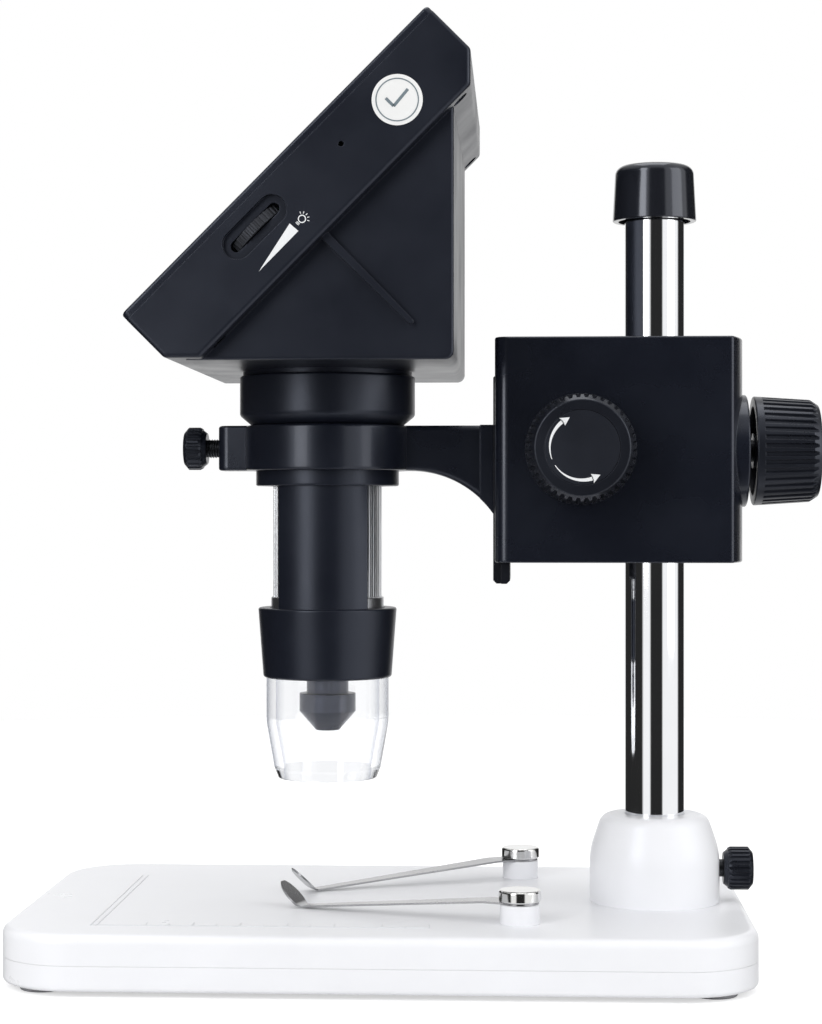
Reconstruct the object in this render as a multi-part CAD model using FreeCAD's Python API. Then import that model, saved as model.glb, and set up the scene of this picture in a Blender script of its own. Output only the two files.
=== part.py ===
import FreeCAD
import Part
import math
import os

os.makedirs("parts", exist_ok=True)

# Screen microscope on a stand. Millimetres, +Z up, the user's side of the screen towards -X.
# The origin lies on the table under the middle of the whole outline.

# Base: two white shells on four rubber feet
base_length = 196.4
base_width = 120.0
base_corner_radius = 20.0
foot_height = 1.4
foot_radius = 6.0
foot_recess = 0.8
foot_inset = 21.0
tray_height = 6.6
upper_shell_height = 8.0
base_wall = 2.2
base_edge_radius = 2.4
tray_edge_radius = 1.2
stage_z = foot_height + tray_height + upper_shell_height
seam_z = foot_height + tray_height
column_from_base_centre = 73.7
shell_lip = 1.2
lip_gap = 0.15

# Column boss on the base and its lock screw
boss_bottom_radius = 17.8
boss_top_radius = 14.4
boss_height = 24.0
boss_shoulder = 14.0
boss_shoulder_radius = 20.0
boss_edge_radius = 3.5
socket_floor = 4.0
column_lock_height = 9.0
column_lock_knob_radius = 5.9
column_lock_knob_length = 8.0
column_lock_knob_gap = 1.0
column_lock_ribs = 24
column_lock_stud_radius = 2.4
thumb_end_wall = 2.5
nut_width = 9.0
nut_thickness = 4.0
nut_corner_gap = 0.1

# Column tube and cap
column_radius = 8.2
column_wall = 1.3
column_clearance = 0.06
column_top = 214.0
cap_top_radius = 10.7
cap_radius = 11.5
cap_height = 15.3
cap_overlap = 11.0
cap_edge_radius = 2.6
cap_recess_depth = 2.5
cap_recess_wall = 1.6
plug_length = 10.0

# Carriage block on the column
block_height = 61.0
block_bottom_above_stage = 93.3
block_front = 43.8
block_side_edge = 20.2
block_bulge = 3.7
block_width = 34.0
block_corner_radius = 3.5
block_edge_radius = 0.6
pad_radius = 15.4
pad_proud = 1.1

# Focus slide, rack and pinion
slide_plate_width = 20.0
slide_plate_depth = 2.2
slide_proud = 0.5
slide_rail_width = 26.0
slide_rail_depth = 2.4
slide_length = 57.0
slide_tail = 5.8
slide_chamfer = 0.9
slide_clearance = 0.08
rib_width = 9.0
rib_half_length = 15.0
rack_width = 6.0
rack_back = 3.2
gear_module = 0.8
pinion_teeth = 16
pressure_angle = 20.0
tooth_backlash = 0.14
tip_clearance = 0.25
pinion_width = 7.0
pinion_from_column = 20.7
focus_axis_above_stage = 123.8
shaft_radius = 3.0
shaft_clearance = 0.05
bush_radius = 8.6
bush_flange_radius = 10.4
bush_flange = 1.0
bush_gap = 0.6

# Ribbed knobs: carriage lock and the focus pair
knob_base_radius = 15.3
knob_end_radius = 13.8
knob_face_radius = 12.5
knob_length = 17.7
knob_collar = 1.8
knob_chamfer = 2.3
knob_gap = 3.0
knob_ribs = 40
knob_rib_depth = 0.75
knob_recess_radius = 12.3
knob_recess_depth = 9.0
knob_hub_radius = 4.8
knob_end_wall = 5.3
inlay_radius = 9.9
inlay_depth = 0.9
lock_stud_radius = 3.0
insert_wall = 3.0
insert_length = 8.0
insert_radius = 4.6
tip_gap = 0.3

# Holder arm, ring and ring screw
optical_from_column = 90.4
ring_outer_radius = 23.0
ring_bottom_above_stage = 118.4
ring_height = 12.4
arm_width = 12.0
arm_root_depth = 24.3
arm_edge_radius = 1.6
arm_root_width = 19.0
arm_root_length = 3.6
arm_screw_radius = 1.5
arm_screw_depth = 3.0
arm_screw_inset = 4.5
arm_screw_low_inset = 8.0
arm_screw_y = 7.0
arm_screw_head = 1.4
ring_edge_radius = 0.8
lug_reach = 29.9
lug_width = 12.0
ring_screw_radius = 2.4
ring_knob_radius = 5.9
ring_knob_length = 6.3
ring_knob_gap = 3.6
ring_knob_ribs = 20

# Head: screen box at 45 degrees and the wedge behind it
screen_angle = 45.0
box_height = 109.8
box_width = 118.0
box_depth = 22.0
box_side_depth = 15.5
box_corner_radius = 1.8
bezel_depth = 2.0
bezel_lip = 1.6
head_wall = 2.2
box_front_reach = 47.5
box_front_above_stage = 157.0
wedge_inset = 5.6
wedge_back_reach = 36.7
wedge_bottom_above_stage = 145.8
wedge_edge_radius = 1.2
side_rib_u = 50.7
side_rib_length = 31.6
side_rib_width = 2.2
side_rib_proud = 0.9

# Screen, glass and front buttons
glass_height = 62.0
glass_width = 104.0
glass_depth = 1.2
view_height = 54.0
view_width = 95.2
screen_centre_u = 61.8
module_height = 67.2
module_width = 105.6
module_depth = 3.2
module_tail = 4.0
button_count = 5
button_spacing = 17.0
button_u = 18.5
button_radius = 4.0
button_proud = 0.9
button_gap = 0.15
button_travel = 0.5
button_flange = 0.8

# Side of the head: dial, reset button and sockets
dial_u = 39.6
dial_v = 8.5
dial_radius = 8.5
dial_thickness = 2.4
dial_proud = 0.4
dial_recess = 1.5
dial_slot_length = 16.4
dial_slot_width = 2.9
dial_dish_length = 20.0
dial_dish_width = 7.6
dial_ribs = 36
reset_u = 69.8
reset_v = 9.3
pinhole_radius = 0.7
sticker_u = 87.6
sticker_v = 11.6
sticker_radius = 6.45
sticker_thickness = 0.12
usb_u = 34.0
card_u = 66.0

# Neck, barrel, hood and lens
collar_radius = 24.25
collar_height = 13.7
collar_foot_radius = 21.0
collar_chamfer_height = 2.7
neck_flange_radius = 23.4
barrel_top_radius = 19.8
ring_clearance = 0.1
ring_top_gap = 0.1
barrel_flange_bottom = 114.2
barrel_window_radius = 18.5
barrel_bore_radius = 16.0
window_bottom = 80.6
window_half_angle = 41.0
lower_barrel_top_radius = 19.2
lower_barrel_bottom_radius = 17.75
lower_barrel_bottom = 61.3
hood_radius = 16.2
hood_wall = 1.8
hood_seat = 7.0
hood_straight_bottom = 48.9
hood_bottom_radius = 13.6
hood_bottom = 33.4
hood_rim = 1.2
hood_clearance = 0.05
focus_ring_radius = 15.0
focus_ring_bore = 11.9
focus_ring_ribs = 48
lens_tube_radius = 11.8
nose_neck_radius = 5.8
nose_radius = 7.8
nose_tip_radius = 3.3
nose_neck_bottom = 56.9
nose_body_bottom = 51.9
nose_tip = 46.7
lens_travel = 1.5
led_count = 8
led_circle_radius = 11.6
led_radius = 1.5

# Stage clips
clip_post_x = 36.7
clip_post_y = 38.0
clip_post_radius = 5.15
clip_post_height = 5.2
clip_thickness = 0.5
clip_bolt_radius = 1.4
clip_cap_radius = 5.5
clip_cap_height = 3.1
clip_root_width = 8.0
clip_neck_width = 3.4
clip_spoon_width = 7.0
clip_length_near = 68.8
clip_length_far = 71.0
clip_angle_near = 20.1
clip_angle_far = 25.7
clip_flat = 9.0
clip_spoon_length = 6.4
clip_spoon_rise = 6.2
clip_rest_gap = 0.2

# Places that follow from the sizes above
knob_reach = block_side_edge + block_bulge + knob_gap + knob_length
column_x = (base_length / 2 + column_from_base_centre - knob_reach) / 2
base_x = column_x - column_from_base_centre
optical_x = column_x - optical_from_column
pinion_x = column_x - pinion_from_column
focus_z = stage_z + focus_axis_above_stage
block_z = stage_z + block_bottom_above_stage
ring_z = stage_z + ring_bottom_above_stage
X = FreeCAD.Vector(1, 0, 0)
Y = FreeCAD.Vector(0, 1, 0)
Z = FreeCAD.Vector(0, 0, 1)


def point(x, y, z):
    return FreeCAD.Vector(x, y, z)


def brick(x0, x1, y0, y1, z0, z1):
    return Part.makeBox(x1 - x0, y1 - y0, z1 - z0, point(x0, y0, z0))


def upright(x, y, z0, z1, radius):
    return Part.makeCylinder(radius, z1 - z0, point(x, y, z0), Z)


def along_x(x0, x1, y, z, radius):
    return Part.makeCylinder(radius, x1 - x0, point(x0, y, z), X)


def along_y(x, y0, y1, z, radius):
    return Part.makeCylinder(radius, y1 - y0, point(x, y0, z), Y)


def joined(shapes):
    whole = shapes[0].fuse(shapes[1:]) if len(shapes) > 1 else shapes[0]
    return whole.removeSplitter()


def outline(points, radii):
    """Closed wire through flat points, each corner rounded by its radius."""
    edges = []
    count = len(points)
    tangents = []
    for i in range(count):
        here = points[i]
        to_last = (points[i - 1] - here).normalize()
        to_next = (points[(i + 1) % count] - here).normalize()
        radius = radii[i]
        if radius <= 0:
            tangents.append((here, here, None))
            continue
        half = to_last.getAngle(to_next) / 2
        reach = radius / math.tan(half)
        middle = (to_last + to_next).normalize() * (radius / math.sin(half) - radius)
        tangents.append((here + to_last * reach, here + to_next * reach, here + middle))
    for i in range(count):
        start, end, middle = tangents[i]
        following = tangents[(i + 1) % count][0]
        if middle is not None:
            edges.append(Part.Arc(start, middle, end).toShape())
        if (following - end).Length > 1e-6:
            edges.append(Part.LineSegment(end, following).toShape())
    return Part.Wire(edges)


def slab(points, radii, direction):
    return Part.Face(outline(points, radii)).extrude(direction)


def plan_slab(length, width, radius, x, z0, z1):
    half_x = length / 2
    half_y = width / 2
    corners = [
        point(x - half_x, -half_y, z0),
        point(x + half_x, -half_y, z0),
        point(x + half_x, half_y, z0),
        point(x - half_x, half_y, z0),
    ]
    return slab(corners, [radius] * 4, point(0, 0, z1 - z0))


def turned(profile, radii, x, y):
    """Solid of revolution about the vertical line through x, y; profile holds (radius, z) pairs."""
    flat = [point(r, 0, z) for r, z in profile]
    solid = Part.Face(outline(flat, radii)).revolve(point(0, 0, 0), Z, 360)
    solid.translate(point(x, y, 0))
    return solid


def turned_plain(profile, x, y):
    return turned(profile, [0] * len(profile), x, y)


def aimed(shape, place, direction):
    """Moves a shape built along +Z from the origin to a place, pointing along a direction."""
    moved = shape.copy()
    moved.Placement = FreeCAD.Placement(place, FreeCAD.Rotation(Z, direction))
    return moved


def rounded_edges(shape, radius, wanted):
    edges = [e for e in shape.Edges if wanted(e)]
    return shape.makeFillet(radius, edges) if edges else shape


def level_edge(z):
    return lambda e: abs(e.BoundBox.ZMin - z) < 1e-4 and abs(e.BoundBox.ZMax - z) < 1e-4


def star(count, outer, inner, z):
    """Wire of a ribbed round: a rib crown and a groove floor in turn, each a straight side."""
    points = []
    for i in range(count):
        for share, radius in ((-0.32, inner), (-0.18, outer), (0.18, outer), (0.32, inner)):
            angle = 2 * math.pi * (i + share) / count
            points.append(point(radius * math.cos(angle), radius * math.sin(angle), z))
    return Part.makePolygon(points + points[:1])


def ribbed_drum(count, low_radius, high_radius, depth, z0, z1):
    low = star(count, low_radius, low_radius - depth, z0)
    high = star(count, high_radius, high_radius - depth, z1)
    return Part.makeLoft([low, high], True, True)


def export(shape, name):
    parts = shape.Solids
    if not parts or not shape.isValid():
        raise ValueError(name + " is not a sound solid")
    piece = parts[0] if len(parts) == 1 else Part.makeCompound(parts)
    piece.exportStep("parts/" + name + ".step")
    print(name, len(parts), "solids, volume", round(piece.Volume, 1))


def pan_screw(x, y, z, length, radius):
    """Pan-head screw pointing up, its head under z."""
    head = turned(
        [(0, z - 1.9), (2 * radius, z - 1.9), (2 * radius, z), (0, z)],
        [0, 0.8, 0, 0],
        x,
        y,
    )
    cross = brick(x - 1.2, x + 1.2, y - 0.3, y + 0.3, z - 2.0, z - 1.1)
    cross = cross.fuse(brick(x - 0.3, x + 0.3, y - 1.2, y + 1.2, z - 2.0, z - 1.1))
    return head.cut(cross).fuse(upright(x, y, z, z + length, radius))


# Base shells
boss_z = stage_z + boss_height
lock_z = stage_z + column_lock_height
screw_radius = 1.5
pillar_radius = 4.2
screw_x = base_length / 2 - foot_inset
screw_y = base_width / 2 - foot_inset
corners_xy = [(sx * screw_x, sy * screw_y) for sx in (-1, 1) for sy in (-1, 1)]


def base_upper_shell():
    outer = plan_slab(base_length, base_width, base_corner_radius, base_x, seam_z, stage_z)
    outer = rounded_edges(outer, base_edge_radius, level_edge(stage_z))
    inner = plan_slab(
        base_length - 2 * base_wall,
        base_width - 2 * base_wall,
        base_corner_radius - base_wall,
        base_x,
        seam_z,
        stage_z - base_wall,
    )
    shell = outer.cut(inner)
    boss_profile = [
        (0, stage_z - base_wall),
        (boss_bottom_radius, stage_z - base_wall),
        (boss_bottom_radius, stage_z + boss_shoulder),
        (boss_top_radius, boss_z),
        (0, boss_z),
    ]
    boss = turned(boss_profile, [0, 0, boss_shoulder_radius, boss_edge_radius, 0], column_x, 0)
    inner_tube = upright(column_x, 0, socket_floor, stage_z - base_wall, column_radius + 3.0)
    extras = [boss, inner_tube]
    for x, y in corners_xy:
        extras.append(upright(base_x + x, y, seam_z, stage_z - base_wall, pillar_radius))
    for y in (-base_width / 4, 0, base_width / 4):
        rib_end = column_x - column_radius - 2.0 if y == 0 else base_x + base_length / 2 - base_wall - 2.0
        extras.append(
            brick(
                base_x - base_length / 2 + base_wall + 2.0,
                rib_end,
                y - 0.8,
                y + 0.8,
                stage_z - base_wall - 2.5,
                stage_z - base_wall,
            )
        )
    for side in (-1, 1):
        extras.append(clip_post(side))
    shell = joined([shell] + extras)
    shell = shell.cut(
        upright(column_x, 0, socket_floor + 2.0, boss_z + 1.0, column_radius + column_clearance)
    )
    shell = shell.cut(upright(column_x, 0, socket_floor - 1.0, socket_floor + 3.0, 4.0))
    shell = shell.cut(along_x(column_x, column_x + 40, 0, lock_z, column_lock_stud_radius + 0.1))
    nut_x = column_x + column_radius + 2.2
    half = nut_width / 2 + nut_corner_gap
    shell = shell.cut(
        brick(
            nut_x - nut_corner_gap,
            nut_x + nut_thickness + nut_corner_gap,
            -half,
            half,
            stage_z - base_wall - 4.0,
            lock_z + half,
        )
    )
    for x, y in corners_xy:
        shell = shell.cut(upright(base_x + x, y, seam_z - 1.0, seam_z + 4.5, screw_radius))
    for side in (-1, 1):
        centre_x = base_x + clip_post_x
        shell = shell.cut(upright(centre_x, side * clip_post_y, seam_z - 1, stage_z + 20, clip_bolt_radius))
    return shell


def clip_post(side):
    """White pillar that carries a stage clip."""
    profile = [
        (0, stage_z - base_wall - 2.0),
        (clip_post_radius, stage_z - base_wall - 2.0),
        (clip_post_radius, stage_z + clip_post_height),
        (0, stage_z + clip_post_height),
    ]
    return turned(profile, [0, 0, 0.4, 0], base_x + clip_post_x, side * clip_post_y)


def base_tray():
    outer = plan_slab(base_length, base_width, base_corner_radius, base_x, foot_height, seam_z)
    outer = rounded_edges(outer, tray_edge_radius, level_edge(foot_height))
    inner = plan_slab(
        base_length - 2 * base_wall,
        base_width - 2 * base_wall,
        base_corner_radius - base_wall,
        base_x,
        foot_height + base_wall,
        seam_z,
    )
    tray = outer.cut(inner)
    lip_inset = base_wall + lip_gap
    lip = plan_slab(
        base_length - 2 * lip_inset,
        base_width - 2 * lip_inset,
        base_corner_radius - lip_inset,
        base_x,
        foot_height + base_wall,
        seam_z + shell_lip,
    )
    lip_inner = plan_slab(
        base_length - 2 * lip_inset - 2.4,
        base_width - 2 * lip_inset - 2.4,
        base_corner_radius - lip_inset - 1.2,
        base_x,
        foot_height + base_wall,
        seam_z + shell_lip,
    )
    extras = [lip.cut(lip_inner)]
    for x, y in corners_xy:
        extras.append(upright(base_x + x, y, foot_height + base_wall, seam_z, pillar_radius))
    for x in (-0.25, 0, 0.25):
        rib_x = base_x + x * base_length
        extras.append(
            brick(
                rib_x - 0.8,
                rib_x + 0.8,
                -base_width / 2 + 2 * base_wall,
                base_width / 2 - 2 * base_wall,
                foot_height + base_wall - 0.5,
                foot_height + base_wall + 2.0,
            )
        )
    # The lip stands inside the wall with a gap, so a floor web joins it to the wall below the seam
    web = plan_slab(
        base_length - base_wall,
        base_width - base_wall,
        base_corner_radius - base_wall / 2,
        base_x,
        foot_height + base_wall - 0.5,
        seam_z - 0.6,
    ).cut(lip_inner)
    tray = joined([tray, web] + extras)
    # Clear of the column socket, with a seat under its end
    tray = tray.cut(upright(column_x, 0, socket_floor, seam_z + 5, column_radius + 3.4))
    for x, y in corners_xy:
        tray = tray.cut(upright(base_x + x, y, foot_height - 1, foot_height + 2.6, 2 * screw_radius + 0.3))
        tray = tray.cut(upright(base_x + x, y, foot_height - 1, seam_z + 1, screw_radius + 0.2))
    for x, y in feet_xy:
        tray = tray.cut(upright(base_x + x, y, foot_height - 1, foot_height + foot_recess, foot_radius + 0.1))
    return tray


feet_xy = [(sx * (screw_x + 9.0), sy * (screw_y + 9.0)) for sx in (-1, 1) for sy in (-1, 1)]


def base_feet():
    feet = []
    for x, y in feet_xy:
        profile = [(0, 0), (foot_radius, 0), (foot_radius, foot_height + foot_recess), (0, foot_height + foot_recess)]
        feet.append(turned(profile, [0, 0.5, 0, 0], base_x + x, y))
    return Part.makeCompound(feet)


def base_screws():
    z = foot_height + 2.6
    return Part.makeCompound(
        [pan_screw(base_x + x, y, z, seam_z + 4.0 - z, screw_radius) for x, y in corners_xy]
    )


def column_lock_nut():
    nut_x = column_x + column_radius + 2.2
    half = nut_width / 2
    nut = brick(nut_x, nut_x + nut_thickness, -half, half, lock_z - half, lock_z + half)
    return nut.cut(along_x(nut_x - 1, nut_x + nut_thickness + 1, 0, lock_z, column_lock_stud_radius + 0.05))


export(base_upper_shell(), "base_upper_shell")
export(base_tray(), "base_tray")
export(base_feet(), "base_feet")
export(base_screws(), "base_screws")
export(column_lock_nut(), "column_lock_nut")


# Column
def column_tube():
    low = socket_floor + 2.0
    tube = upright(column_x, 0, low, column_top, column_radius)
    return tube.cut(upright(column_x, 0, low - 1, column_top + 1, column_radius - column_wall))


def column_cap():
    bottom = cap_z
    top = bottom + cap_height
    bore = column_radius
    profile = [
        (bore, bottom + cap_recess_depth),
        (cap_radius - cap_recess_wall, bottom + cap_recess_depth),
        (cap_radius - cap_recess_wall, bottom),
        (cap_radius, bottom),
        (cap_top_radius, top),
        (0, top),
        (0, column_top),
        (bore, column_top),
    ]
    return turned(profile, [0, 0, 0, 0.3, cap_edge_radius, 0, 0, 0], column_x, 0)


cap_z = column_top - cap_overlap


def column_plug():
    low = socket_floor + 2.0
    return upright(column_x, 0, low, low + plug_length, column_radius - column_wall)


# Ribbed thumb screws
def thumb_knob(radius, length, ribs):
    """Small ribbed knob along +Z from the origin, its outer end domed."""
    drum = ribbed_drum(ribs, radius, radius, 0.45, 1.2, length)
    profile = [(0, 0), (radius - 1.6, 0), (radius - 0.4, 1.2), (radius, 2.0), (radius, length - 1.2), (radius - 1.4, length), (0, length)]
    envelope = turned_plain(profile, 0, 0)
    collar = turned_plain([(0, 0), (radius - 1.6, 0), (radius - 0.6, 1.3), (0, 1.3)], 0, 0)
    knob = drum.common(envelope).fuse(collar)
    dome = turned([(0, length - 0.7), (radius - 2.6, length - 0.7), (radius - 1.9, length + 1), (0, length + 1)], [0] * 4, 0, 0)
    return knob.cut(dome).removeSplitter()


def column_lock_knob():
    knob = thumb_knob(column_lock_knob_radius, column_lock_knob_length, column_lock_ribs)
    knob = knob.cut(Part.makeCylinder(column_lock_stud_radius, column_lock_knob_length - thumb_end_wall))
    return aimed(knob, point(column_x + boss_bottom_radius + column_lock_knob_gap, 0, lock_z), X)


def column_lock_stud():
    start = column_x + column_radius + tip_gap
    end = column_x + boss_bottom_radius + column_lock_knob_gap + column_lock_knob_length - thumb_end_wall
    return along_x(start, end, 0, lock_z, column_lock_stud_radius)


export(column_tube(), "column_tube")
export(column_cap(), "column_cap")
export(column_plug(), "column_plug")
export(column_lock_knob(), "column_lock_knob")
export(column_lock_stud(), "column_lock_stud")

# Carriage block
block_top = block_z + block_height
half_width = block_width / 2
front_x = column_x - block_front
side_x = column_x + block_side_edge
back_x = side_x + block_bulge
rail_front = front_x - slide_proud + slide_plate_depth
rail_back = rail_front + slide_rail_depth
pitch_radius = gear_module * pinion_teeth / 2
rack_pitch_x = pinion_x - pitch_radius
rack_root_x = rack_pitch_x - 1.25 * gear_module
rack_back_x = rack_root_x - rack_back


def block_profile(z):
    """Plan outline: flat front and sides, bulged back."""
    radius = block_corner_radius
    a = point(side_x, -half_width, z)
    b = point(side_x, half_width, z)
    front = [point(front_x + radius, -half_width, z), point(front_x, -half_width + radius, z)]
    rear = [point(front_x, half_width - radius, z), point(front_x + radius, half_width, z)]
    turn = radius * (1 - math.sqrt(0.5))
    near_mid = point(front_x + turn, -half_width + turn, z)
    far_mid = point(front_x + turn, half_width - turn, z)
    edges = [
        Part.LineSegment(front[0], a).toShape(),
        Part.Arc(a, point(back_x, 0, z), b).toShape(),
        Part.LineSegment(b, rear[1]).toShape(),
        Part.Arc(rear[1], far_mid, rear[0]).toShape(),
        Part.LineSegment(rear[0], front[1]).toShape(),
        Part.Arc(front[1], near_mid, front[0]).toShape(),
    ]
    return Part.Wire(edges)


def carriage_block():
    body = Part.Face(block_profile(block_z)).extrude(point(0, 0, block_height))
    ends = [level_edge(block_z), level_edge(block_top)]
    upright_corners = [
        e
        for e in body.Edges
        if abs(e.BoundBox.XMin - side_x) < 1e-4 and e.BoundBox.ZLength > 1
    ]
    body = body.makeFillet(1.2, upright_corners)
    body = rounded_edges(body, block_edge_radius, lambda e: ends[0](e) or ends[1](e))
    pad = along_x(back_x - 4.0, back_x + pad_proud, 0, focus_z, pad_radius)
    pad = rounded_edges(pad, 0.5, lambda e: abs(e.BoundBox.XMin - back_x - pad_proud) < 1e-4 and e.BoundBox.XLength < 1e-4)
    body = body.fuse(pad)
    gap = slide_clearance
    low = block_z - 1
    high = block_top + 1
    plate_half = slide_plate_width / 2 + gap
    rail_half = slide_rail_width / 2 + gap
    rib_half = rib_width / 2 + gap
    body = body.cut(brick(front_x - 1, rail_front, -plate_half, plate_half, low, high))
    body = body.cut(brick(rail_front - gap, rail_back + gap, -rail_half, rail_half, low, high))
    body = body.cut(brick(rail_back, rack_pitch_x + 1.6 * gear_module, -rib_half, rib_half, low, high))
    body = body.cut(upright(column_x, 0, low, high, column_radius + column_clearance))
    body = body.cut(along_y(pinion_x, -half_width - 1, half_width + 1, focus_z, bush_radius))
    body = body.cut(along_x(column_x, back_x + 5, 0, focus_z, lock_stud_radius + 0.1))
    insert_start = column_x + column_radius + insert_wall
    body = body.cut(along_x(insert_start, insert_start + insert_length, 0, focus_z, insert_radius))
    return body.removeSplitter()


def lock_insert():
    """Brass threaded insert that the carriage lock stud turns in."""
    start = column_x + column_radius + insert_wall
    end = start + insert_length
    insert = along_x(start, end, 0, focus_z, insert_radius)
    return insert.cut(along_x(start - 1, end + 1, 0, focus_z, lock_stud_radius + 0.05))


def shaft_bushes():
    """Two flanged bushes that carry the focus shaft; each closes the cross bore that the pinion goes in by."""
    inner = pinion_width / 2 + bush_gap
    bushes = []
    for side in (-1, 1):
        bush = Part.makeCylinder(bush_radius, half_width - inner)
        flange = Part.makeCylinder(bush_flange_radius, bush_flange, point(0, 0, half_width - inner))
        bush = bush.fuse(flange).cut(Part.makeCylinder(shaft_radius + shaft_clearance, 60, point(0, 0, -5)))
        bushes.append(aimed(bush, point(pinion_x, side * inner, focus_z), Y * side))
    return Part.makeCompound(bushes)


# Rack and pinion
def pinion_outline():
    """Involute tooth flanks, worked out from the base circle, with one tooth pointing towards the rack."""
    base_radius = pitch_radius * math.cos(math.radians(pressure_angle))
    tip_radius = pitch_radius + gear_module - tip_clearance / 2
    root_radius = pitch_radius - 1.25 * gear_module
    tangent = math.tan(math.radians(pressure_angle))
    involute_at_pitch = tangent - math.radians(pressure_angle)
    half_tooth = math.pi / (2 * pinion_teeth) - tooth_backlash / (2 * pitch_radius)
    start = max(base_radius, root_radius)
    steps = 5
    flank = []
    for k in range(steps + 1):
        radius = start + (tip_radius - start) * k / steps
        roll = math.acos(min(1.0, base_radius / radius))
        flank.append((radius, half_tooth + involute_at_pitch - (math.tan(roll) - roll)))
    points = []
    for tooth in range(pinion_teeth):
        centre = math.pi + 2 * math.pi * tooth / pinion_teeth
        half_space = math.pi / pinion_teeth
        ring = [(root_radius, -half_space), (root_radius, -flank[0][1])]
        ring += [(r, -a) for r, a in flank]
        ring += [(r, a) for r, a in reversed(flank)]
        ring += [(root_radius, flank[0][1])]
        points += [(r * math.cos(centre + a), r * math.sin(centre + a)) for r, a in ring]
    return points


def pinion_shaft():
    """Steel shaft with the pinion cut on it; both focus knobs press on its ends."""
    half = pinion_width / 2
    ring = [point(x, 0, z) for x, z in pinion_outline()]
    gear = Part.Face(Part.makePolygon(ring + ring[:1])).extrude(point(0, pinion_width, 0))
    gear.translate(point(pinion_x, -half, focus_z))
    reach = half_width + knob_gap + knob_length - knob_end_wall
    shaft = along_y(pinion_x, -reach, reach, focus_z, shaft_radius)
    collars = along_y(pinion_x, -half - bush_gap + 0.1, half + bush_gap - 0.1, focus_z, shaft_radius + 1.2)
    return joined([gear, shaft, collars])


def rack():
    """Steel rack bar, its straight-sided teeth facing the pinion, a gap in line with the pinion's middle tooth."""
    pitch = math.pi * gear_module
    slope = math.tan(math.radians(pressure_angle))
    half_gap = pitch / 4 + tooth_backlash / 4
    tip_x = rack_pitch_x + gear_module - tip_clearance / 2
    root_half = half_gap - slope * (rack_pitch_x - rack_root_x)
    tip_half = half_gap + slope * (tip_x - rack_pitch_x)
    low = focus_z - rib_half_length
    high = focus_z + rib_half_length
    edge = []
    count = int((rib_half_length - tip_half) / pitch)
    for k in range(-count, count + 1):
        middle = focus_z + k * pitch
        edge += [
            point(tip_x, 0, middle - tip_half),
            point(rack_root_x, 0, middle - root_half),
            point(rack_root_x, 0, middle + root_half),
            point(tip_x, 0, middle + tip_half),
        ]
    ring = [point(rack_back_x, 0, low), point(tip_x, 0, low)] + edge + [point(tip_x, 0, high), point(rack_back_x, 0, high)]
    bar = Part.Face(Part.makePolygon(ring + ring[:1])).extrude(point(0, rack_width, 0))
    bar.translate(point(0, -rack_width / 2, 0))
    return bar


arm_top = stage_z + ring_bottom_above_stage + ring_height
arm_screw_heights = (arm_top - arm_screw_inset, arm_top - arm_root_depth + arm_screw_low_inset)
arm_screw_places = [(side * arm_screw_y, z) for side in (-1, 1) for z in arm_screw_heights]


def slide_plate():
    low = block_z - slide_tail
    high = low + slide_length
    face_x = front_x - slide_proud
    plate = brick(face_x, rail_front, -slide_plate_width / 2, slide_plate_width / 2, low, high)
    front_ends = [e for e in plate.Edges if abs(e.BoundBox.XMax - face_x) < 1e-4 and e.BoundBox.ZLength < 1e-4]
    plate = plate.makeChamfer(slide_chamfer, front_ends)
    rail = brick(rail_front, rail_back, -slide_rail_width / 2, slide_rail_width / 2, low, high)
    rear_ends = [e for e in rail.Edges if abs(e.BoundBox.XMin - rail_back) < 1e-4 and e.BoundBox.ZLength < 1e-4]
    rail = rail.makeChamfer(slide_chamfer, rear_ends)
    rib = brick(
        rail_back - 0.5,
        rack_back_x,
        -rib_width / 2,
        rib_width / 2,
        focus_z - rib_half_length,
        focus_z + rib_half_length,
    )
    slide = joined([plate, rail, rib])
    for y, z in arm_screw_places:
        slide = slide.cut(along_x(face_x - 1, rail_back + 1, y, z, arm_screw_radius + 0.1))
        slide = slide.cut(along_x(rail_back - arm_screw_head - 0.4, rail_back + 1, y, z, 2 * arm_screw_radius + 0.1))
    return slide


def big_knob(bore_radius):
    """Ribbed knob along +Z from its inner rim: smooth collar, tapering ribs, chamfered end, hub in a recess."""
    taper = (knob_base_radius - knob_end_radius) / knob_length
    radius_at = lambda z: knob_base_radius - taper * z
    ribs = ribbed_drum(
        knob_ribs, radius_at(knob_collar), knob_end_radius, knob_rib_depth, knob_collar, knob_length
    )
    envelope = turned(
        [
            (0, 0),
            (knob_base_radius - 0.3, 0),
            (radius_at(knob_length - knob_chamfer) + 0.01, knob_length - knob_chamfer),
            (knob_face_radius, knob_length),
            (0, knob_length),
        ],
        [0, 0, 0.8, 0.6, 0],
        0,
        0,
    )
    collar = turned(
        [(0, 0), (knob_base_radius - 0.3, 0), (radius_at(knob_collar) - 0.3, knob_collar + 0.4), (0, knob_collar + 0.4)],
        [0, 0.4, 0, 0],
        0,
        0,
    )
    knob = ribs.common(envelope).fuse(collar)
    recess = Part.makeCylinder(knob_recess_radius, knob_recess_depth, point(0, 0, -0.01))
    recess = recess.cut(Part.makeCylinder(knob_hub_radius, knob_recess_depth + 1, point(0, 0, -0.5)))
    knob = knob.cut(recess)
    knob = knob.cut(Part.makeCylinder(bore_radius, knob_length - knob_end_wall + 1, point(0, 0, -1)))
    return knob.removeSplitter()


def focus_knob(side):
    knob = big_knob(shaft_radius)
    knob = knob.cut(Part.makeCylinder(inlay_radius, inlay_depth + 1, point(0, 0, knob_length - inlay_depth)))
    return aimed(knob, point(pinion_x, side * (half_width + knob_gap), focus_z), Y * side)


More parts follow.
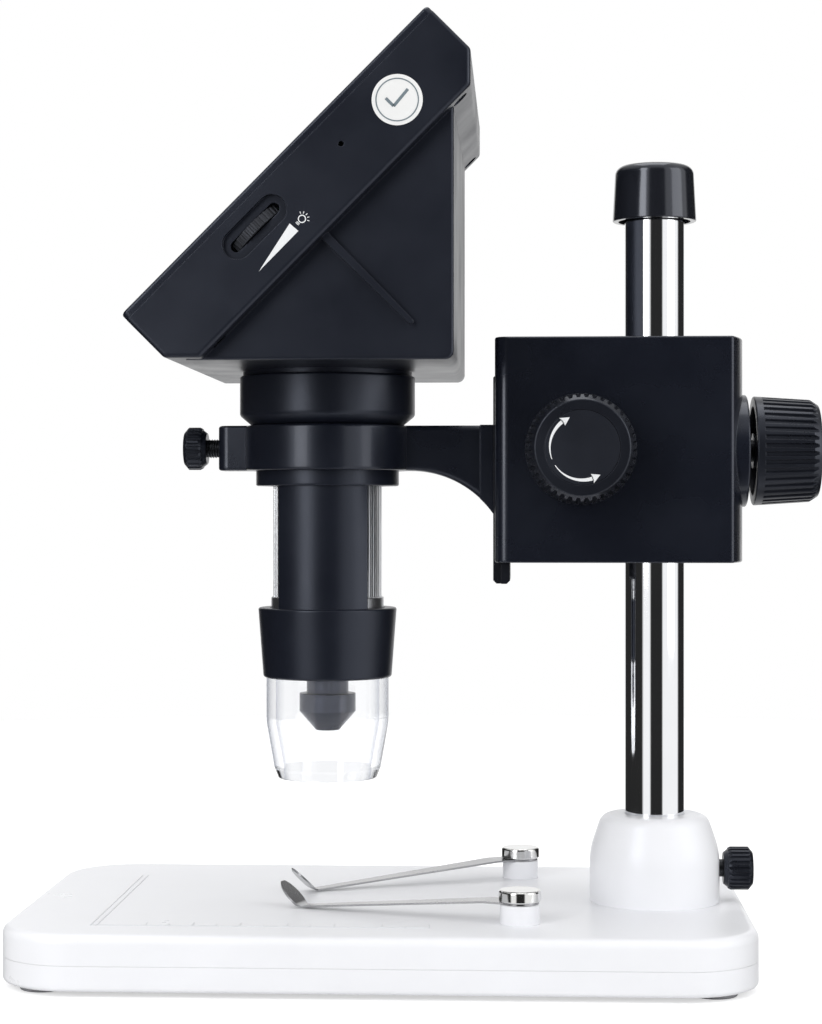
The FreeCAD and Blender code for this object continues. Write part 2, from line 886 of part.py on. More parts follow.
def knob_inlay(side):
    disc = turned(
        [(0, 0), (inlay_radius, 0), (inlay_radius, inlay_depth - 0.1), (0, inlay_depth - 0.1)],
        [0, 0, 0.25, 0],
        0,
        0,
    )
    face = half_width + knob_gap + knob_length - inlay_depth
    return aimed(disc, point(pinion_x, side * face, focus_z), Y * side)


def lock_knob():
    return aimed(big_knob(lock_stud_radius), point(back_x + knob_gap, 0, focus_z), X)


def lock_stud():
    """Carriage lock stud with its brass pressure tip."""
    start = column_x + column_radius + tip_gap
    end = back_x + knob_gap + knob_length - knob_end_wall
    return along_x(start, end, 0, focus_z, lock_stud_radius)


export(carriage_block(), "carriage_block")
export(lock_insert(), "lock_insert")
export(shaft_bushes(), "shaft_bushes")
export(pinion_shaft(), "pinion_shaft")
export(rack(), "rack")
export(slide_plate(), "slide_plate")
for side_name, side in (("near", -1), ("far", 1)):
    export(focus_knob(side), "focus_knob_" + side_name)
    export(knob_inlay(side), "knob_inlay_" + side_name)
export(lock_knob(), "lock_knob")
export(lock_stud(), "lock_stud")

# Holder arm with its ring
ring_bore = barrel_top_radius + ring_clearance
ring_top = ring_z + ring_height
ring_mid = ring_z + ring_height / 2
slide_face = front_x - slide_proud


def holder_arm():
    ring = turned(
        [(0, ring_z), (ring_outer_radius, ring_z), (ring_outer_radius, ring_top), (0, ring_top)],
        [0, ring_edge_radius, ring_edge_radius, 0],
        optical_x,
        0,
    )
    low = ring_top - arm_root_depth
    drop = ring_z - low
    curve_start = optical_x + ring_outer_radius
    span = slide_face - curve_start
    # The underside leaves the ring level and sweeps down to the slide on one arc
    sweep_radius = (span ** 2 + drop ** 2) / (2 * drop)
    halfway = span / 2
    middle_drop = sweep_radius - math.sqrt(sweep_radius ** 2 - halfway ** 2)
    start_x = curve_start - 2.5
    corners = [
        point(curve_start, 0, ring_z),
        point(start_x, 0, ring_z),
        point(start_x, 0, ring_top),
        point(slide_face, 0, ring_top),
        point(slide_face, 0, low),
    ]
    edges = [Part.LineSegment(a, b).toShape() for a, b in zip(corners, corners[1:])]
    middle = point(curve_start + halfway, 0, ring_z - middle_drop)
    edges.append(Part.Arc(corners[-1], middle, corners[0]).toShape())
    side = Part.Face(Part.Wire(edges))
    web = side.extrude(point(0, arm_width, 0))
    web.translate(point(0, -arm_width / 2, 0))
    long_edges = [
        e
        for e in web.Edges
        if e.BoundBox.YLength < 1e-4 and e.BoundBox.XLength > 10
    ]
    web = web.makeFillet(arm_edge_radius, long_edges)
    root = side.extrude(point(0, arm_root_width, 0))
    root.translate(point(0, -arm_root_width / 2, 0))
    root = root.common(
        brick(slide_face - arm_root_length, slide_face, -arm_root_width, arm_root_width, low - 1, ring_top + 1)
    )
    lug = slab(
        [
            point(optical_x, -lug_width / 2 - 2.0, ring_z),
            point(optical_x, lug_width / 2 + 2.0, ring_z),
            point(optical_x - lug_reach, lug_width / 2, ring_z),
            point(optical_x - lug_reach, -lug_width / 2, ring_z),
        ],
        [0, 0, 3.0, 3.0],
        point(0, 0, ring_height),
    )
    lug = rounded_edges(lug, 0.8, lambda e: level_edge(ring_z)(e) or level_edge(ring_top)(e))
    arm = joined([ring, web, root, lug])
    arm = arm.cut(upright(optical_x, 0, ring_z - 1, ring_top + 1, ring_bore))
    arm = arm.cut(along_x(optical_x - lug_reach - 1, optical_x, 0, ring_mid, ring_screw_radius + 0.05))
    for y, z in arm_screw_places:
        arm = arm.cut(along_x(slide_face - arm_screw_depth, slide_face + 1, y, z, arm_screw_radius))
    return arm


def arm_screws():
    """Screws from the back of the slide into the arm's root, their heads sunk in the rail."""
    screws = []
    for y, z in arm_screw_places:
        under_head = rail_back - arm_screw_head - 0.4
        shank = along_x(slide_face - arm_screw_depth, under_head + 0.1, y, z, arm_screw_radius)
        head = along_x(under_head, under_head + arm_screw_head, y, z, 2 * arm_screw_radius)
        screws.append(shank.fuse(head))
    return Part.makeCompound(screws)


def ring_screw_knob():
    knob = thumb_knob(ring_knob_radius, ring_knob_length, ring_knob_ribs)
    knob = knob.cut(Part.makeCylinder(ring_screw_radius, ring_knob_length - 2.0))
    return aimed(knob, point(optical_x - lug_reach - ring_knob_gap, 0, ring_mid), X * -1)


def ring_screw_stud():
    start = optical_x - lug_reach - ring_knob_gap - ring_knob_length + 2.0
    return along_x(start, optical_x - barrel_top_radius - tip_gap, 0, ring_mid, ring_screw_radius)


export(holder_arm(), "holder_arm")
export(arm_screws(), "arm_screws")
export(ring_screw_knob(), "ring_screw_knob")
export(ring_screw_stud(), "ring_screw_stud")


# Head: u runs up the screen, v runs in from its face
box_x = optical_x - box_front_reach
box_z = stage_z + box_front_above_stage
wedge_z = stage_z + wedge_bottom_above_stage
half_box = box_width / 2
half_wedge = half_box - wedge_inset
head_frame = FreeCAD.Placement(point(box_x, 0, box_z), FreeCAD.Rotation(Y, -screen_angle))
end_chamfer = box_depth - box_side_depth


def in_head(shape):
    moved = shape.copy()
    moved.Placement = head_frame.multiply(moved.Placement)
    return moved


def head_brick(u0, u1, y0, y1, v0, v1):
    return brick(u0, u1, y0, y1, -v1, -v0)


def head_point(u, y, v):
    return head_frame.multVec(point(u, y, -v))


def head_section(inset, v0, y):
    """Side outline of the screen box: square front corners, chamfered rear corners."""
    cut = end_chamfer - inset * (math.sqrt(2) - 1)
    back = box_depth - inset
    return [
        point(inset, y, -v0),
        point(box_height - inset, y, -v0),
        point(box_height - inset, y, -(back - cut)),
        point(box_height - inset - cut, y, -back),
        point(inset + cut, y, -back),
        point(inset, y, -(back - cut)),
    ]


def head_shell_solid(inset, v0):
    radius = max(box_corner_radius - inset / 2, 0.4)
    points = head_section(inset, v0, -half_box + inset)
    return slab(points, [0, 0, radius, radius, radius, radius], point(0, box_width - 2 * inset, 0))


def wedge_solid(inset):
    """Triangular hump behind the box: level bottom, upright back."""
    back = optical_x + wedge_back_reach - inset
    low = wedge_z + inset
    direction = math.radians(screen_angle)
    ground = head_point(0, 0, box_depth - 3.0)
    front_low = ground.x + (low - ground.z) / math.tan(direction)
    high = ground.z + (back - ground.x) * math.tan(direction)
    points = [point(front_low, 0, low), point(back, 0, low), point(back, 0, high)]
    radius = wedge_edge_radius if inset == 0 else 0.4
    hump = slab(points, [0, radius + 1.0, 0], point(0, 2 * (half_wedge - inset), 0))
    hump.translate(point(0, -half_wedge + inset, 0))
    return hump


def rear_housing():
    outer = in_head(head_shell_solid(0, bezel_depth))
    rim = outer.Edges
    corner = [e for e in rim if e.BoundBox.YLength < 1e-3 and abs(abs(e.BoundBox.YMin) - half_box) < 1e-3]
    corner = [e for e in corner if not on_front_plane(e, bezel_depth)]
    outer = outer.makeFillet(1.2, corner)
    wedge = wedge_solid(0)
    sides = [
        e
        for e in wedge.Edges
        if abs(abs(e.BoundBox.YMin) - half_wedge) < 1e-3 and e.BoundBox.YLength < 1e-3
    ]
    wedge = wedge.makeFillet(0.8, sides)
    ribs = []
    for side in (-1, 1):
        y = side * half_wedge
        rib = slab(
            [
                point(side_rib_u - side_rib_width / 2, y - 1.0, -(box_depth - 1)),
                point(side_rib_u + side_rib_width / 2, y - 1.0, -(box_depth - 1)),
                point(side_rib_u + 0.3 * side_rib_width, y - 1.0, -(box_depth + side_rib_length)),
                point(side_rib_u - 0.3 * side_rib_width, y - 1.0, -(box_depth + side_rib_length)),
            ],
            [0, 0, 0.6, 0.6],
            point(0, 1.0 + side_rib_proud, 0),
        )
        if side < 0:
            rib.translate(point(0, -side_rib_proud, 0))
        ribs.append(in_head(rib))
    flange = turned_plain(
        [(0, wedge_z - neck_flange_height), (neck_flange_radius, wedge_z - neck_flange_height), (neck_flange_radius, wedge_z + 1), (0, wedge_z + 1)],
        optical_x,
        0,
    )
    housing = joined([outer, wedge, flange] + ribs)
    cavity = in_head(head_shell_solid(head_wall, bezel_depth - 1.0))
    hollow = wedge_solid(head_wall)
    housing = housing.cut(cavity.fuse(hollow))
    housing = housing.cut(upright(optical_x, 0, wedge_z - 5, wedge_z + head_wall + 1, neck_bore))
    for u, y, depth in housing_posts:
        post = upright(u, y, -(box_depth - 0.5), -depth, post_radius)
        housing = housing.fuse(in_head(post))
    housing = housing.removeSplitter()
    for u, y, depth in housing_posts:
        housing = housing.cut(in_head(upright(u, y, -(box_depth + 0.1), -depth + 1.0, screw_hole)))
        housing = housing.cut(in_head(upright(u, y, -(box_depth + 0.1), -(box_depth - 2.0), screw_sink)))
    return side_cuts(housing)


def on_front_plane(edge, depth):
    inverse = head_frame.inverse()
    return all(abs(inverse.multVec(v.Point).z + depth) < 1e-3 for v in edge.Vertexes)


neck_flange_height = 1.3
neck_bore = 13.0
post_radius = 3.0
screw_hole = 1.2
screw_sink = 2.3
post_u_low = 12.6
post_u_high = box_height - 10.4
post_y = half_box - 6.2
housing_posts = [(u, side * post_y, 5.4) for u in (post_u_low, post_u_high) for side in (-1, 1)]


def stadium(u, y, v, length, width, depth):
    """Slot cutter in a side wall: its long way along u, sunk in from the wall's face."""
    half = length / 2 - width / 2
    straight = brick(u - half, u + half, 0, depth, -v - width / 2, -v + width / 2)
    ends = [Part.makeCylinder(width / 2, depth, point(u + s * half, 0, -v), Y) for s in (-1, 1)]
    cutter = joined([straight] + ends)
    cutter.translate(point(0, y, 0))
    return cutter


def side_cuts(housing):
    wall = -half_box
    dish = stadium(dial_u, wall - 0.01, dial_v, dial_dish_length, dial_dish_width, 0.02 + dial_recess)
    slot = stadium(dial_u, wall - 1, dial_v, dial_slot_length, dial_slot_width, 2 + head_wall + dial_recess)
    floor_pad = stadium(
        dial_u, wall + head_wall - 0.5, dial_v, dial_dish_length + 2, dial_dish_width + 2, dial_recess + 0.5
    )
    housing = housing.fuse(in_head(floor_pad)).cut(in_head(dish)).cut(in_head(slot))
    housing = housing.cut(in_head(along_y(reset_u, wall - 1, wall + head_wall + 1, -reset_v, pinhole_radius)))
    housing = housing.cut(in_head(head_brick(usb_u - usb_length / 2, usb_u + usb_length / 2, half_box - head_wall - 1, half_box + 1, usb_v, usb_v + usb_height)))
    housing = housing.cut(in_head(head_brick(card_u - card_length / 2, card_u + card_length / 2, half_box - head_wall - 1, half_box + 1, card_v, card_v + card_height)))
    return housing.removeSplitter()


usb_length = 8.2
usb_height = 3.4
card_length = 12.4
card_height = 1.6


def front_bezel():
    """Front frame of the screen: face plate, a stepped window for the glass, button holes and an inner lip."""
    plate = head_brick(0, box_height, -half_box, half_box, 0, bezel_depth)
    plate = plate.makeFillet(
        box_corner_radius,
        [e for e in plate.Edges if e.BoundBox.ZLength > 1],
    )
    plate = rounded_edges(plate, 0.8, level_edge(0))
    inset = head_wall + 0.12
    lip = head_brick(inset, box_height - inset, -half_box + inset, half_box - inset, bezel_depth - 0.5, bezel_depth + bezel_lip)
    lip_hole = head_brick(
        inset + 1.3, box_height - inset - 1.3, -half_box + inset + 1.3, half_box - inset - 1.3, 0, 10
    )
    bezel = joined([plate, lip.cut(lip_hole)])
    u0 = screen_centre_u - glass_height / 2
    u1 = screen_centre_u + glass_height / 2
    bezel = bezel.cut(head_brick(u0, u1, -glass_width / 2, glass_width / 2, -1, glass_depth))
    u0 = screen_centre_u - view_height / 2 - 1.0
    u1 = screen_centre_u + view_height / 2 + 1.0
    bezel = bezel.cut(head_brick(u0, u1, -view_width / 2 - 1.0, view_width / 2 + 1.0, -1, 3))
    for y in button_places:
        bezel = bezel.cut(upright(button_u, y, -5, 1, button_radius + button_gap))
    for u, y, depth in housing_posts:
        peg = upright(u, y, -5.4, -1.9, post_radius)
        peg = peg.cut(upright(u, y, -6.0, -2.6, screw_hole - 0.2))
        bezel = bezel.fuse(peg)
    return in_head(bezel.removeSplitter())


button_places = [(i - (button_count - 1) / 2) * button_spacing for i in range(button_count)]


def screen_glass():
    gap = 0.05
    u0 = screen_centre_u - glass_height / 2 + gap
    u1 = screen_centre_u + glass_height / 2 - gap
    half = glass_width / 2 - gap
    glass = head_brick(u0, u1, -half, half, 0.05, glass_depth)
    return in_head(rounded_edges(glass, 0.15, level_edge(-0.05)))


def display_module():
    u0 = screen_centre_u - module_height / 2
    u1 = screen_centre_u + module_height / 2
    half = module_width / 2
    module = head_brick(u0, u1, -half, half, bezel_depth, bezel_depth + module_depth)
    step = head_brick(
        u0 + 5.0, u1 - 5.0, -half + 4.0, half - 4.0, bezel_depth + module_depth - 0.6, bezel_depth + module_depth + 1
    )
    tail = head_brick(u0 - module_tail, u0 + 1.0, -14.0, 14.0, bezel_depth + 1.0, bezel_depth + 1.4)
    return in_head(joined([module.cut(step), tail]))


board_v = bezel_depth + module_depth + 1.8
board_depth = 1.6
board_u0 = 5.0
board_u1 = box_height - 6.0


def main_board():
    """Circuit board behind the screen, with the button switches, chips, the two sockets and the dial's potentiometer seat."""
    board = head_brick(board_u0, board_u1, -half_box + 4.2, half_box - 4.2, board_v, board_v + board_depth)
    for u, y, depth in housing_posts:
        board = board.cut(upright(u, y, -20, 0, post_radius + 0.6))
    notch_half = dial_radius + 1.0
    board = board.cut(
        head_brick(dial_u - notch_half, dial_u + notch_half, -half_box, dial_y + 9.5, board_v - 1, board_v + 3)
    )
    parts = [board]
    for u, y, du, dy, height in chips:
        parts.append(
            head_brick(u - du / 2, u + du / 2, y - dy / 2, y + dy / 2, board_v + board_depth - 0.1, board_v + board_depth + height)
        )
    for y in button_places:
        parts.append(head_brick(button_u - 3, button_u + 3, y - 3, y + 3, switch_top, board_v + 0.1))
    for u in (screen_centre_u - 24, screen_centre_u + 24):
        for y in (-40, 40):
            parts.append(head_brick(u - 2, u + 2, y - 2, y + 2, bezel_depth + module_depth - 0.6, board_v + 0.1))
    return in_head(joined(parts))


switch_top = 5.1
chips = [(70.0, 12.0, 14.0, 14.0, 1.2), (70.0, -12.0, 10.0, 12.0, 1.0), (48.0, 20.0, 8.0, 8.0, 0.9), (88.0, 0.0, 12.0, 8.0, 2.2)]
dial_y = -half_box - dial_proud + dial_radius


def dial_base():
    """Potentiometer under the dial, soldered to the board beside its notch."""
    body = head_brick(dial_u - 4.5, dial_u + 4.5, dial_y - 3.6, dial_y + 10.0, dial_v + dial_thickness / 2 + 0.4, dial_v + 5.2)
    pin = upright(dial_u, dial_y, -(dial_v + dial_thickness / 2 + 0.5), -(dial_v - dial_thickness / 2 + 0.4), 1.6)
    seat = head_brick(dial_u - 4.5, dial_u + 4.5, dial_y + 9.2, dial_y + 14.0, board_v + board_depth, dial_v + 5.2)
    return in_head(joined([body, pin, seat]))


def brightness_dial():
    wheel = ribbed_drum(dial_ribs, dial_radius, dial_radius, 0.4, -dial_thickness / 2, dial_thickness / 2)
    wheel = wheel.cut(Part.makeCylinder(1.65, dial_thickness + 2, point(0, 0, -dial_thickness / 2 - 1)))
    wheel.translate(point(dial_u, dial_y, -dial_v))
    return in_head(wheel)


def reset_switch():
    y0 = -half_box + head_wall
    back = board_v + board_depth
    body = head_brick(reset_u - 2.6, reset_u + 2.6, y0 + 1.6, y0 + 5.0, back, back + 3.0)
    bore = along_y(reset_u, y0, y0 + 3.0, -reset_plunger_v, plunger_radius + 0.06)
    return in_head(body.cut(bore))


plunger_radius = 0.6
reset_plunger_v = reset_v + 0.3


def reset_button():
    y0 = -half_box + head_wall
    return in_head(along_y(reset_u, y0 + 0.9, y0 + 2.6, -reset_plunger_v, plunger_radius))


def menu_button(y):
    """Button cap with a retaining flange behind the bezel and a stem down to its switch."""
    cap = upright(button_u, y, -bezel_depth - 0.2, button_proud, button_radius)
    cap = rounded_edges(cap, 0.5, level_edge(button_proud))
    flange_low = -(bezel_depth + 0.1 + button_flange)
    flange = upright(button_u, y, flange_low, -bezel_depth - 0.1, button_radius + 0.9)
    stem = upright(button_u, y, -(switch_top - button_travel - 0.05), flange_low + 0.1, 1.4)
    return in_head(joined([cap, flange, stem]))


def usb_socket():
    inner_y = half_box - head_wall - 0.1
    body = head_brick(usb_u - 3.9, usb_u + 3.9, inner_y - 7.0, inner_y + 0.4, usb_body_v, usb_body_v + 2.9)
    mouth = head_brick(usb_u - 3.3, usb_u + 3.3, inner_y - 5.0, inner_y + 1, usb_body_v + 0.5, usb_body_v + 2.4)
    tongue = head_brick(usb_u - 2.2, usb_u + 2.2, inner_y - 5.5, inner_y - 0.6, usb_body_v + 1.1, usb_body_v + 1.7)
    return in_head(joined([body.cut(mouth), tongue]))


def card_socket():
    inner_y = half_box - head_wall - 0.1
    v = board_v + board_depth
    body = head_brick(card_u - 7.0, card_u + 7.0, inner_y - 14.0, inner_y, v, v + 1.8)
    mouth = head_brick(card_u - 5.7, card_u + 5.7, inner_y - 12.0, inner_y + 1, v + 0.4, v + 1.4)
    return in_head(body.cut(mouth))


usb_body_v = board_v + board_depth
usb_v = usb_body_v - 0.25
card_v = board_v + board_depth + 0.1


def battery_cell():
    """Flat cell held against the level floor of the wedge."""
    x1 = optical_x + wedge_back_reach - head_wall - 1.0
    x0 = x1 - 12.0
    z0 = wedge_z + head_wall
    return rounded_edges(brick(x0, x1, -25, 25, z0, z0 + 34), 1.5, lambda e: e.BoundBox.YLength > 20)


def housing_screws():
    screws = []
    for u, y, depth in housing_posts:
        screw = upright(u, y, -(box_depth - 2.2), -3.4, screw_hole - 0.2)
        head = upright(u, y, -(box_depth - 0.4), -(box_depth - 2.0), screw_sink - 0.15)
        screws.append(in_head(screw.fuse(head)))
    return Part.makeCompound(screws)


def round_sticker():
    disc = along_y(sticker_u, -half_box - sticker_thickness, -half_box, -sticker_v, sticker_radius)
    return in_head(disc)


export(rear_housing(), "rear_housing")
export(front_bezel(), "front_bezel")
export(screen_glass(), "screen_glass")
export(display_module(), "display_module")
export(main_board(), "main_board")
export(dial_base(), "dial_base")
export(brightness_dial(), "brightness_dial")
export(reset_switch(), "reset_switch")
export(reset_button(), "reset_button")
for index, y in enumerate(button_places):
    export(menu_button(y), "menu_button_" + str(index + 1))
export(usb_socket(), "usb_socket")
export(card_socket(), "card_socket")
export(battery_cell(), "battery_cell")
export(housing_screws(), "housing_screws")
export(round_sticker(), "round_sticker")

# Neck and barrel
collar_z = ring_top + ring_top_gap
collar_top = wedge_z - neck_flange_height


def neck_collar():
    """Smooth collar that rests on the ring and joins the barrel to the head."""
    profile = [
        (neck_bore, collar_z),
        (collar_foot_radius, collar_z),
        (collar_radius, collar_z + collar_chamfer_height),
        (collar_radius, collar_top),
        (neck_bore, collar_top),
    ]
    return turned(profile, [0, 0.4, 1.4, 0.6, 0], optical_x, 0)


def barrel():
    """Barrel with two finger windows; the strips between them carry its lower end."""
    low = stage_z + lower_barrel_bottom
    windows_low = stage_z + window_bottom
    flange_low = stage_z + barrel_flange_bottom
    profile = [
        (barrel_bore_radius, low),
        (lower_barrel_bottom_radius, low),
        (lower_barrel_top_radius, windows_low),
        (barrel_window_radius, windows_low),
        (barrel_window_radius, flange_low),
        (barrel_top_radius, flange_low),
        (barrel_top_radius, collar_z),
        (barrel_bore_radius, collar_z),
    ]
    body = turned(profile, [0, 0.8, 0.6, 0, 0, 0.5, 0, 0], optical_x, 0)
    reach = barrel_top_radius + 5
    for side in (-1, 1):
        wedge_points = [point(optical_x, 0, windows_low)]
        for angle in (90 - window_half_angle, -90 + window_half_angle):
            a = math.radians(angle)
            wedge_points.append(
                point(optical_x + side * reach * math.cos(a) * 2, reach * math.sin(a) * 2, windows_low)
            )
        cutter = slab(wedge_points, [0, 0, 0], point(0, 0, flange_low - windows_low))
        body = body.cut(cutter)
    plate = turned_plain(
        [
            (lens_hole_radius, board_bottom),
            (barrel_bore_radius + 0.5, board_bottom),
            (barrel_bore_radius + 0.5, board_bottom + 1.5),
            (lens_hole_radius, board_bottom + 1.5),
        ],
        optical_x,
        0,
    )
    body = body.fuse(plate)
    for k in range(led_count):
        a = 2 * math.pi * (k + 0.5) / led_count
        body = body.cut(
            upright(
                optical_x + led_circle_radius * math.cos(a),
                led_circle_radius * math.sin(a),
                board_bottom - 1,
                board_bottom + 3,
                led_radius + 0.15,
            )
        )
    # Seat for the clear hood
    body = body.cut(upright(optical_x, 0, low - 1, low + hood_seat, hood_radius + hood_clearance))
    # Ledge that the focus ring turns on, and the ceiling over it
    ceiling = turned_plain(
        [
            (sensor_bore, flange_low + 1.0),
            (barrel_bore_radius + 0.5, flange_low + 1.0),
            (barrel_bore_radius + 0.5, flange_low + 3.0),
            (sensor_bore, flange_low + 3.0),
        ],
        optical_x,
        0,
    )
    body = body.fuse(ceiling)
    return body.removeSplitter()


lens_hole_radius = 8.6
board_bottom = stage_z + lower_barrel_bottom + hood_seat + 0.4
sensor_bore = 9.0
board_top = board_bottom + 3.1
tube_low = board_top + lens_travel + 0.5
ring_low = stage_z + window_bottom - 3.0
ring_high = stage_z + barrel_flange_bottom + 0.9


def led_board():
    """Ring board over the barrel's lower plate, its lamps looking down through the plate."""
    ring = turned_plain(
        [
            (lens_hole_radius + 0.2, board_bottom + 1.5),
            (barrel_bore_radius, board_bottom + 1.5),
            (barrel_bore_radius, board_bottom + 3.1),
            (lens_hole_radius + 0.2, board_bottom + 3.1),
        ],
        optical_x,
        0,
    )
    return ring


def lamps():
    domes = []
    for k in range(led_count):
        a = 2 * math.pi * (k + 0.5) / led_count
        profile = [
            (0, board_bottom - 0.8),
            (led_radius, board_bottom - 0.8),
            (led_radius, board_bottom + 1.5),
            (0, board_bottom + 1.5),
        ]
        domes.append(
            turned(
                profile,
                [0, 0.9, 0, 0],
                optical_x + led_circle_radius * math.cos(a),
                led_circle_radius * math.sin(a),
            )
        )
    return Part.makeCompound(domes)


def focus_ring():
    """Ribbed ring between the windows, with a plain collar at its lower end."""
    ribs = ribbed_drum(focus_ring_ribs, focus_ring_radius, focus_ring_radius, 0.45, ring_low + 3.0, ring_high)
    collar = turned([(0, ring_low), (focus_ring_radius + 0.6, ring_low), (focus_ring_radius + 0.6, ring_low + 6.0), (0, ring_low + 6.0)], [0, 0.4, 0.4, 0], 0, 0)
    ring = ribs.fuse(collar).cut(Part.makeCylinder(focus_ring_bore, 60, point(0, 0, ring_low - 5)))
    ring.translate(point(optical_x, 0, 0))
    return ring.removeSplitter()


def ring_seat():
    """Turned seat under the focus ring, standing on the ring board."""
    profile = [
        (focus_ring_bore + 0.3, board_top),
        (barrel_bore_radius, board_top),
        (barrel_bore_radius, ring_low - 0.1),
        (focus_ring_bore + 0.3, ring_low - 0.1),
    ]
    return turned_plain(profile, optical_x, 0)


def lens_tube():
    """Lens carrier: a sleeve in the focus ring, a slim neck through the ring board and the pointed nose below it."""
    z = lambda above: stage_z + above
    high = ring_high - 5.0
    profile = [
        (0, z(nose_tip)),
        (nose_tip_radius, z(nose_tip)),
        (nose_radius, z(nose_body_bottom)),
        (nose_radius, z(nose_neck_bottom)),
        (nose_neck_radius, z(nose_neck_bottom)),
        (nose_neck_radius, tube_low),
        (lens_tube_radius, tube_low),
        (lens_tube_radius, high),
        (lens_tube_radius - 2.0, high),
        (lens_tube_radius - 2.0, tube_low + 3.0),
        (lens_bore, tube_low + 1.0),
        (lens_bore, z(nose_tip) + 1.6),
        (0, z(nose_tip) + 1.6),
    ]
    tube = turned(profile, [0, 0.3, 0.4, 0.2, 0, 0, 0.5, 0, 0, 0, 0, 0, 0], optical_x, 0)
    return tube.cut(upright(optical_x, 0, z(nose_tip) - 1, z(nose_tip) + 3, nose_tip_radius - 1.1))


lens_bore = 4.2


def lens_stack():
    """Front and rear glass of the objective."""
    z = stage_z + nose_tip + 1.6
    front = turned_plain([(0, z), (lens_bore, z), (lens_bore, z + 2.2), (0, z + 2.2)], optical_x, 0)
    rear = turned_plain([(0, z + 8), (lens_bore, z + 8), (lens_bore, z + 10.5), (0, z + 10.5)], optical_x, 0)
    return Part.makeCompound([front, rear])


def sensor_board():
    """Image sensor and its small board over the barrel's ceiling."""
    z = stage_z + barrel_flange_bottom + 3.0
    board = brick(optical_x - 10.5, optical_x + 10.5, -10.5, 10.5, z, z + 1.4)
    chip = brick(optical_x - 4.5, optical_x + 4.5, -4.5, 4.5, z - 1.4, z + 0.1)
    plug = brick(optical_x - 6, optical_x + 6, 4.0, 8.5, z + 1.3, z + 4.0)
    return joined([board, chip, plug])


def clear_hood():
    """Clear shade pushed into the barrel: straight collar, rounded taper, thicker rim at its mouth."""
    z = lambda above: stage_z + above
    top = z(lower_barrel_bottom) + hood_seat
    wall = hood_wall
    profile = [
        (hood_radius - wall, top),
        (hood_radius, top),
        (hood_radius, z(lower_barrel_bottom) - 0.05),
        (hood_radius + 0.8, z(lower_barrel_bottom) - 0.05),
        (hood_radius + 0.8, z(hood_straight_bottom)),
        (hood_bottom_radius + hood_rim, z(hood_bottom) + 3.0),
        (hood_bottom_radius, z(hood_bottom)),
        (hood_bottom_radius - wall, z(hood_bottom)),
        (hood_bottom_radius - wall + 0.4, z(hood_bottom) + 3.6),
        (hood_radius - wall, z(hood_straight_bottom)),
    ]
    radii = [0, 0.4, 0, 0, 14.0, 0.8, 0.5, 0.5, 0.8, 12.0]
    return turned(profile, radii, optical_x, 0)


export(neck_collar(), "neck_collar")
export(barrel(), "barrel")
export(led_board(), "led_board")
export(lamps(), "lamps")
export(focus_ring(), "focus_ring")
export(ring_seat(), "ring_seat")
export(lens_tube(), "lens_tube")
export(lens_stack(), "lens_stack")
export(sensor_board(), "sensor_board")
export(clear_hood(), "clear_hood")


# Stage clips
def ribbon_outline(points, radii, thickness):
    """Closed wire of a bent strip: its centre line offset to both sides, bends kept round."""
    half = thickness / 2
    normals = []
    for a, b in zip(points, points[1:]):
        direction = (b - a).normalize()
        normals.append(point(-direction.z, 0, direction.x))
    sides = []
    for side in (1, -1):
        line = []
        for i, p in enumerate(points):
            before = normals[max(i - 1, 0)]
            after = normals[min(i, len(normals) - 1)]
            mitre = before + after
            line.append(p + mitre * (side * half * 2 / (mitre.Length ** 2)))
        line_radii = []
        for i, r in enumerate(radii):
            if r == 0:
                line_radii.append(0)
                continue
            turn = normals[i - 1].cross(normals[i]).y
            line_radii.append(r + side * half if turn > 0 else r - side * half)
        sides.append((line, line_radii))
    ring = sides[0][0] + sides[1][0][::-1]
    ring_radii = sides[0][1] + sides[1][1][::-1]
    return outline(ring, ring_radii)


def stage_clip(side, length, angle):
    """Spring steel finger: an eye round its bolt, a long slope down to the stage and an upturned spoon end."""
    root_z = stage_z + clip_post_height + clip_thickness / 2 + 0.05
    toe_z = stage_z + clip_rest_gap + clip_thickness / 2
    line = [
        point(6.5, 0, root_z),
        point(-clip_flat, 0, root_z),
        point(-(length - clip_spoon_length), 0, toe_z),
        point(-length, 0, toe_z + clip_spoon_rise),
    ]
    strip = Part.Face(ribbon_outline(line, [0, 8.0, 3.0, 0], clip_thickness)).extrude(point(0, 30, 0))
    strip.translate(point(0, -15, 0))
    low = stage_z - 2
    toe_x = -(length - clip_spoon_length)
    root_half = clip_root_width / 2
    neck_half = clip_neck_width / 2
    spoon_radius = clip_spoon_width / 2
    plan = slab(
        [
            point(0, -root_half, low),
            point(0, root_half, low),
            point(toe_x - 1.0, neck_half, low),
            point(toe_x - 1.0, -neck_half, low),
        ],
        [0, 0, 0, 0],
        point(0, 0, 20),
    )
    # The spoon's plan is an oval that reaches from the toe's bend to the tip
    spoon = Part.makeCylinder(spoon_radius, 20, point(0, 0, 0))
    stretch = FreeCAD.Matrix()
    stretch.scale((clip_spoon_length / 2 + 0.6) / spoon_radius, 1, 1)
    spoon = spoon.transformGeometry(stretch)
    spoon.translate(point(-length + clip_spoon_length / 2 + 0.6, 0, low))
    plan = plan.fuse(spoon)
    eye = upright(0, 0, low, stage_z + 18, clip_post_radius - 0.1)
    clip = strip.common(plan.fuse(eye)).cut(upright(0, 0, stage_z - 3, stage_z + 20, clip_bolt_radius + 0.06))
    clip.rotate(point(0, 0, 0), Z, side * angle)
    clip.translate(point(base_x + clip_post_x, side * clip_post_y, 0))
    return clip


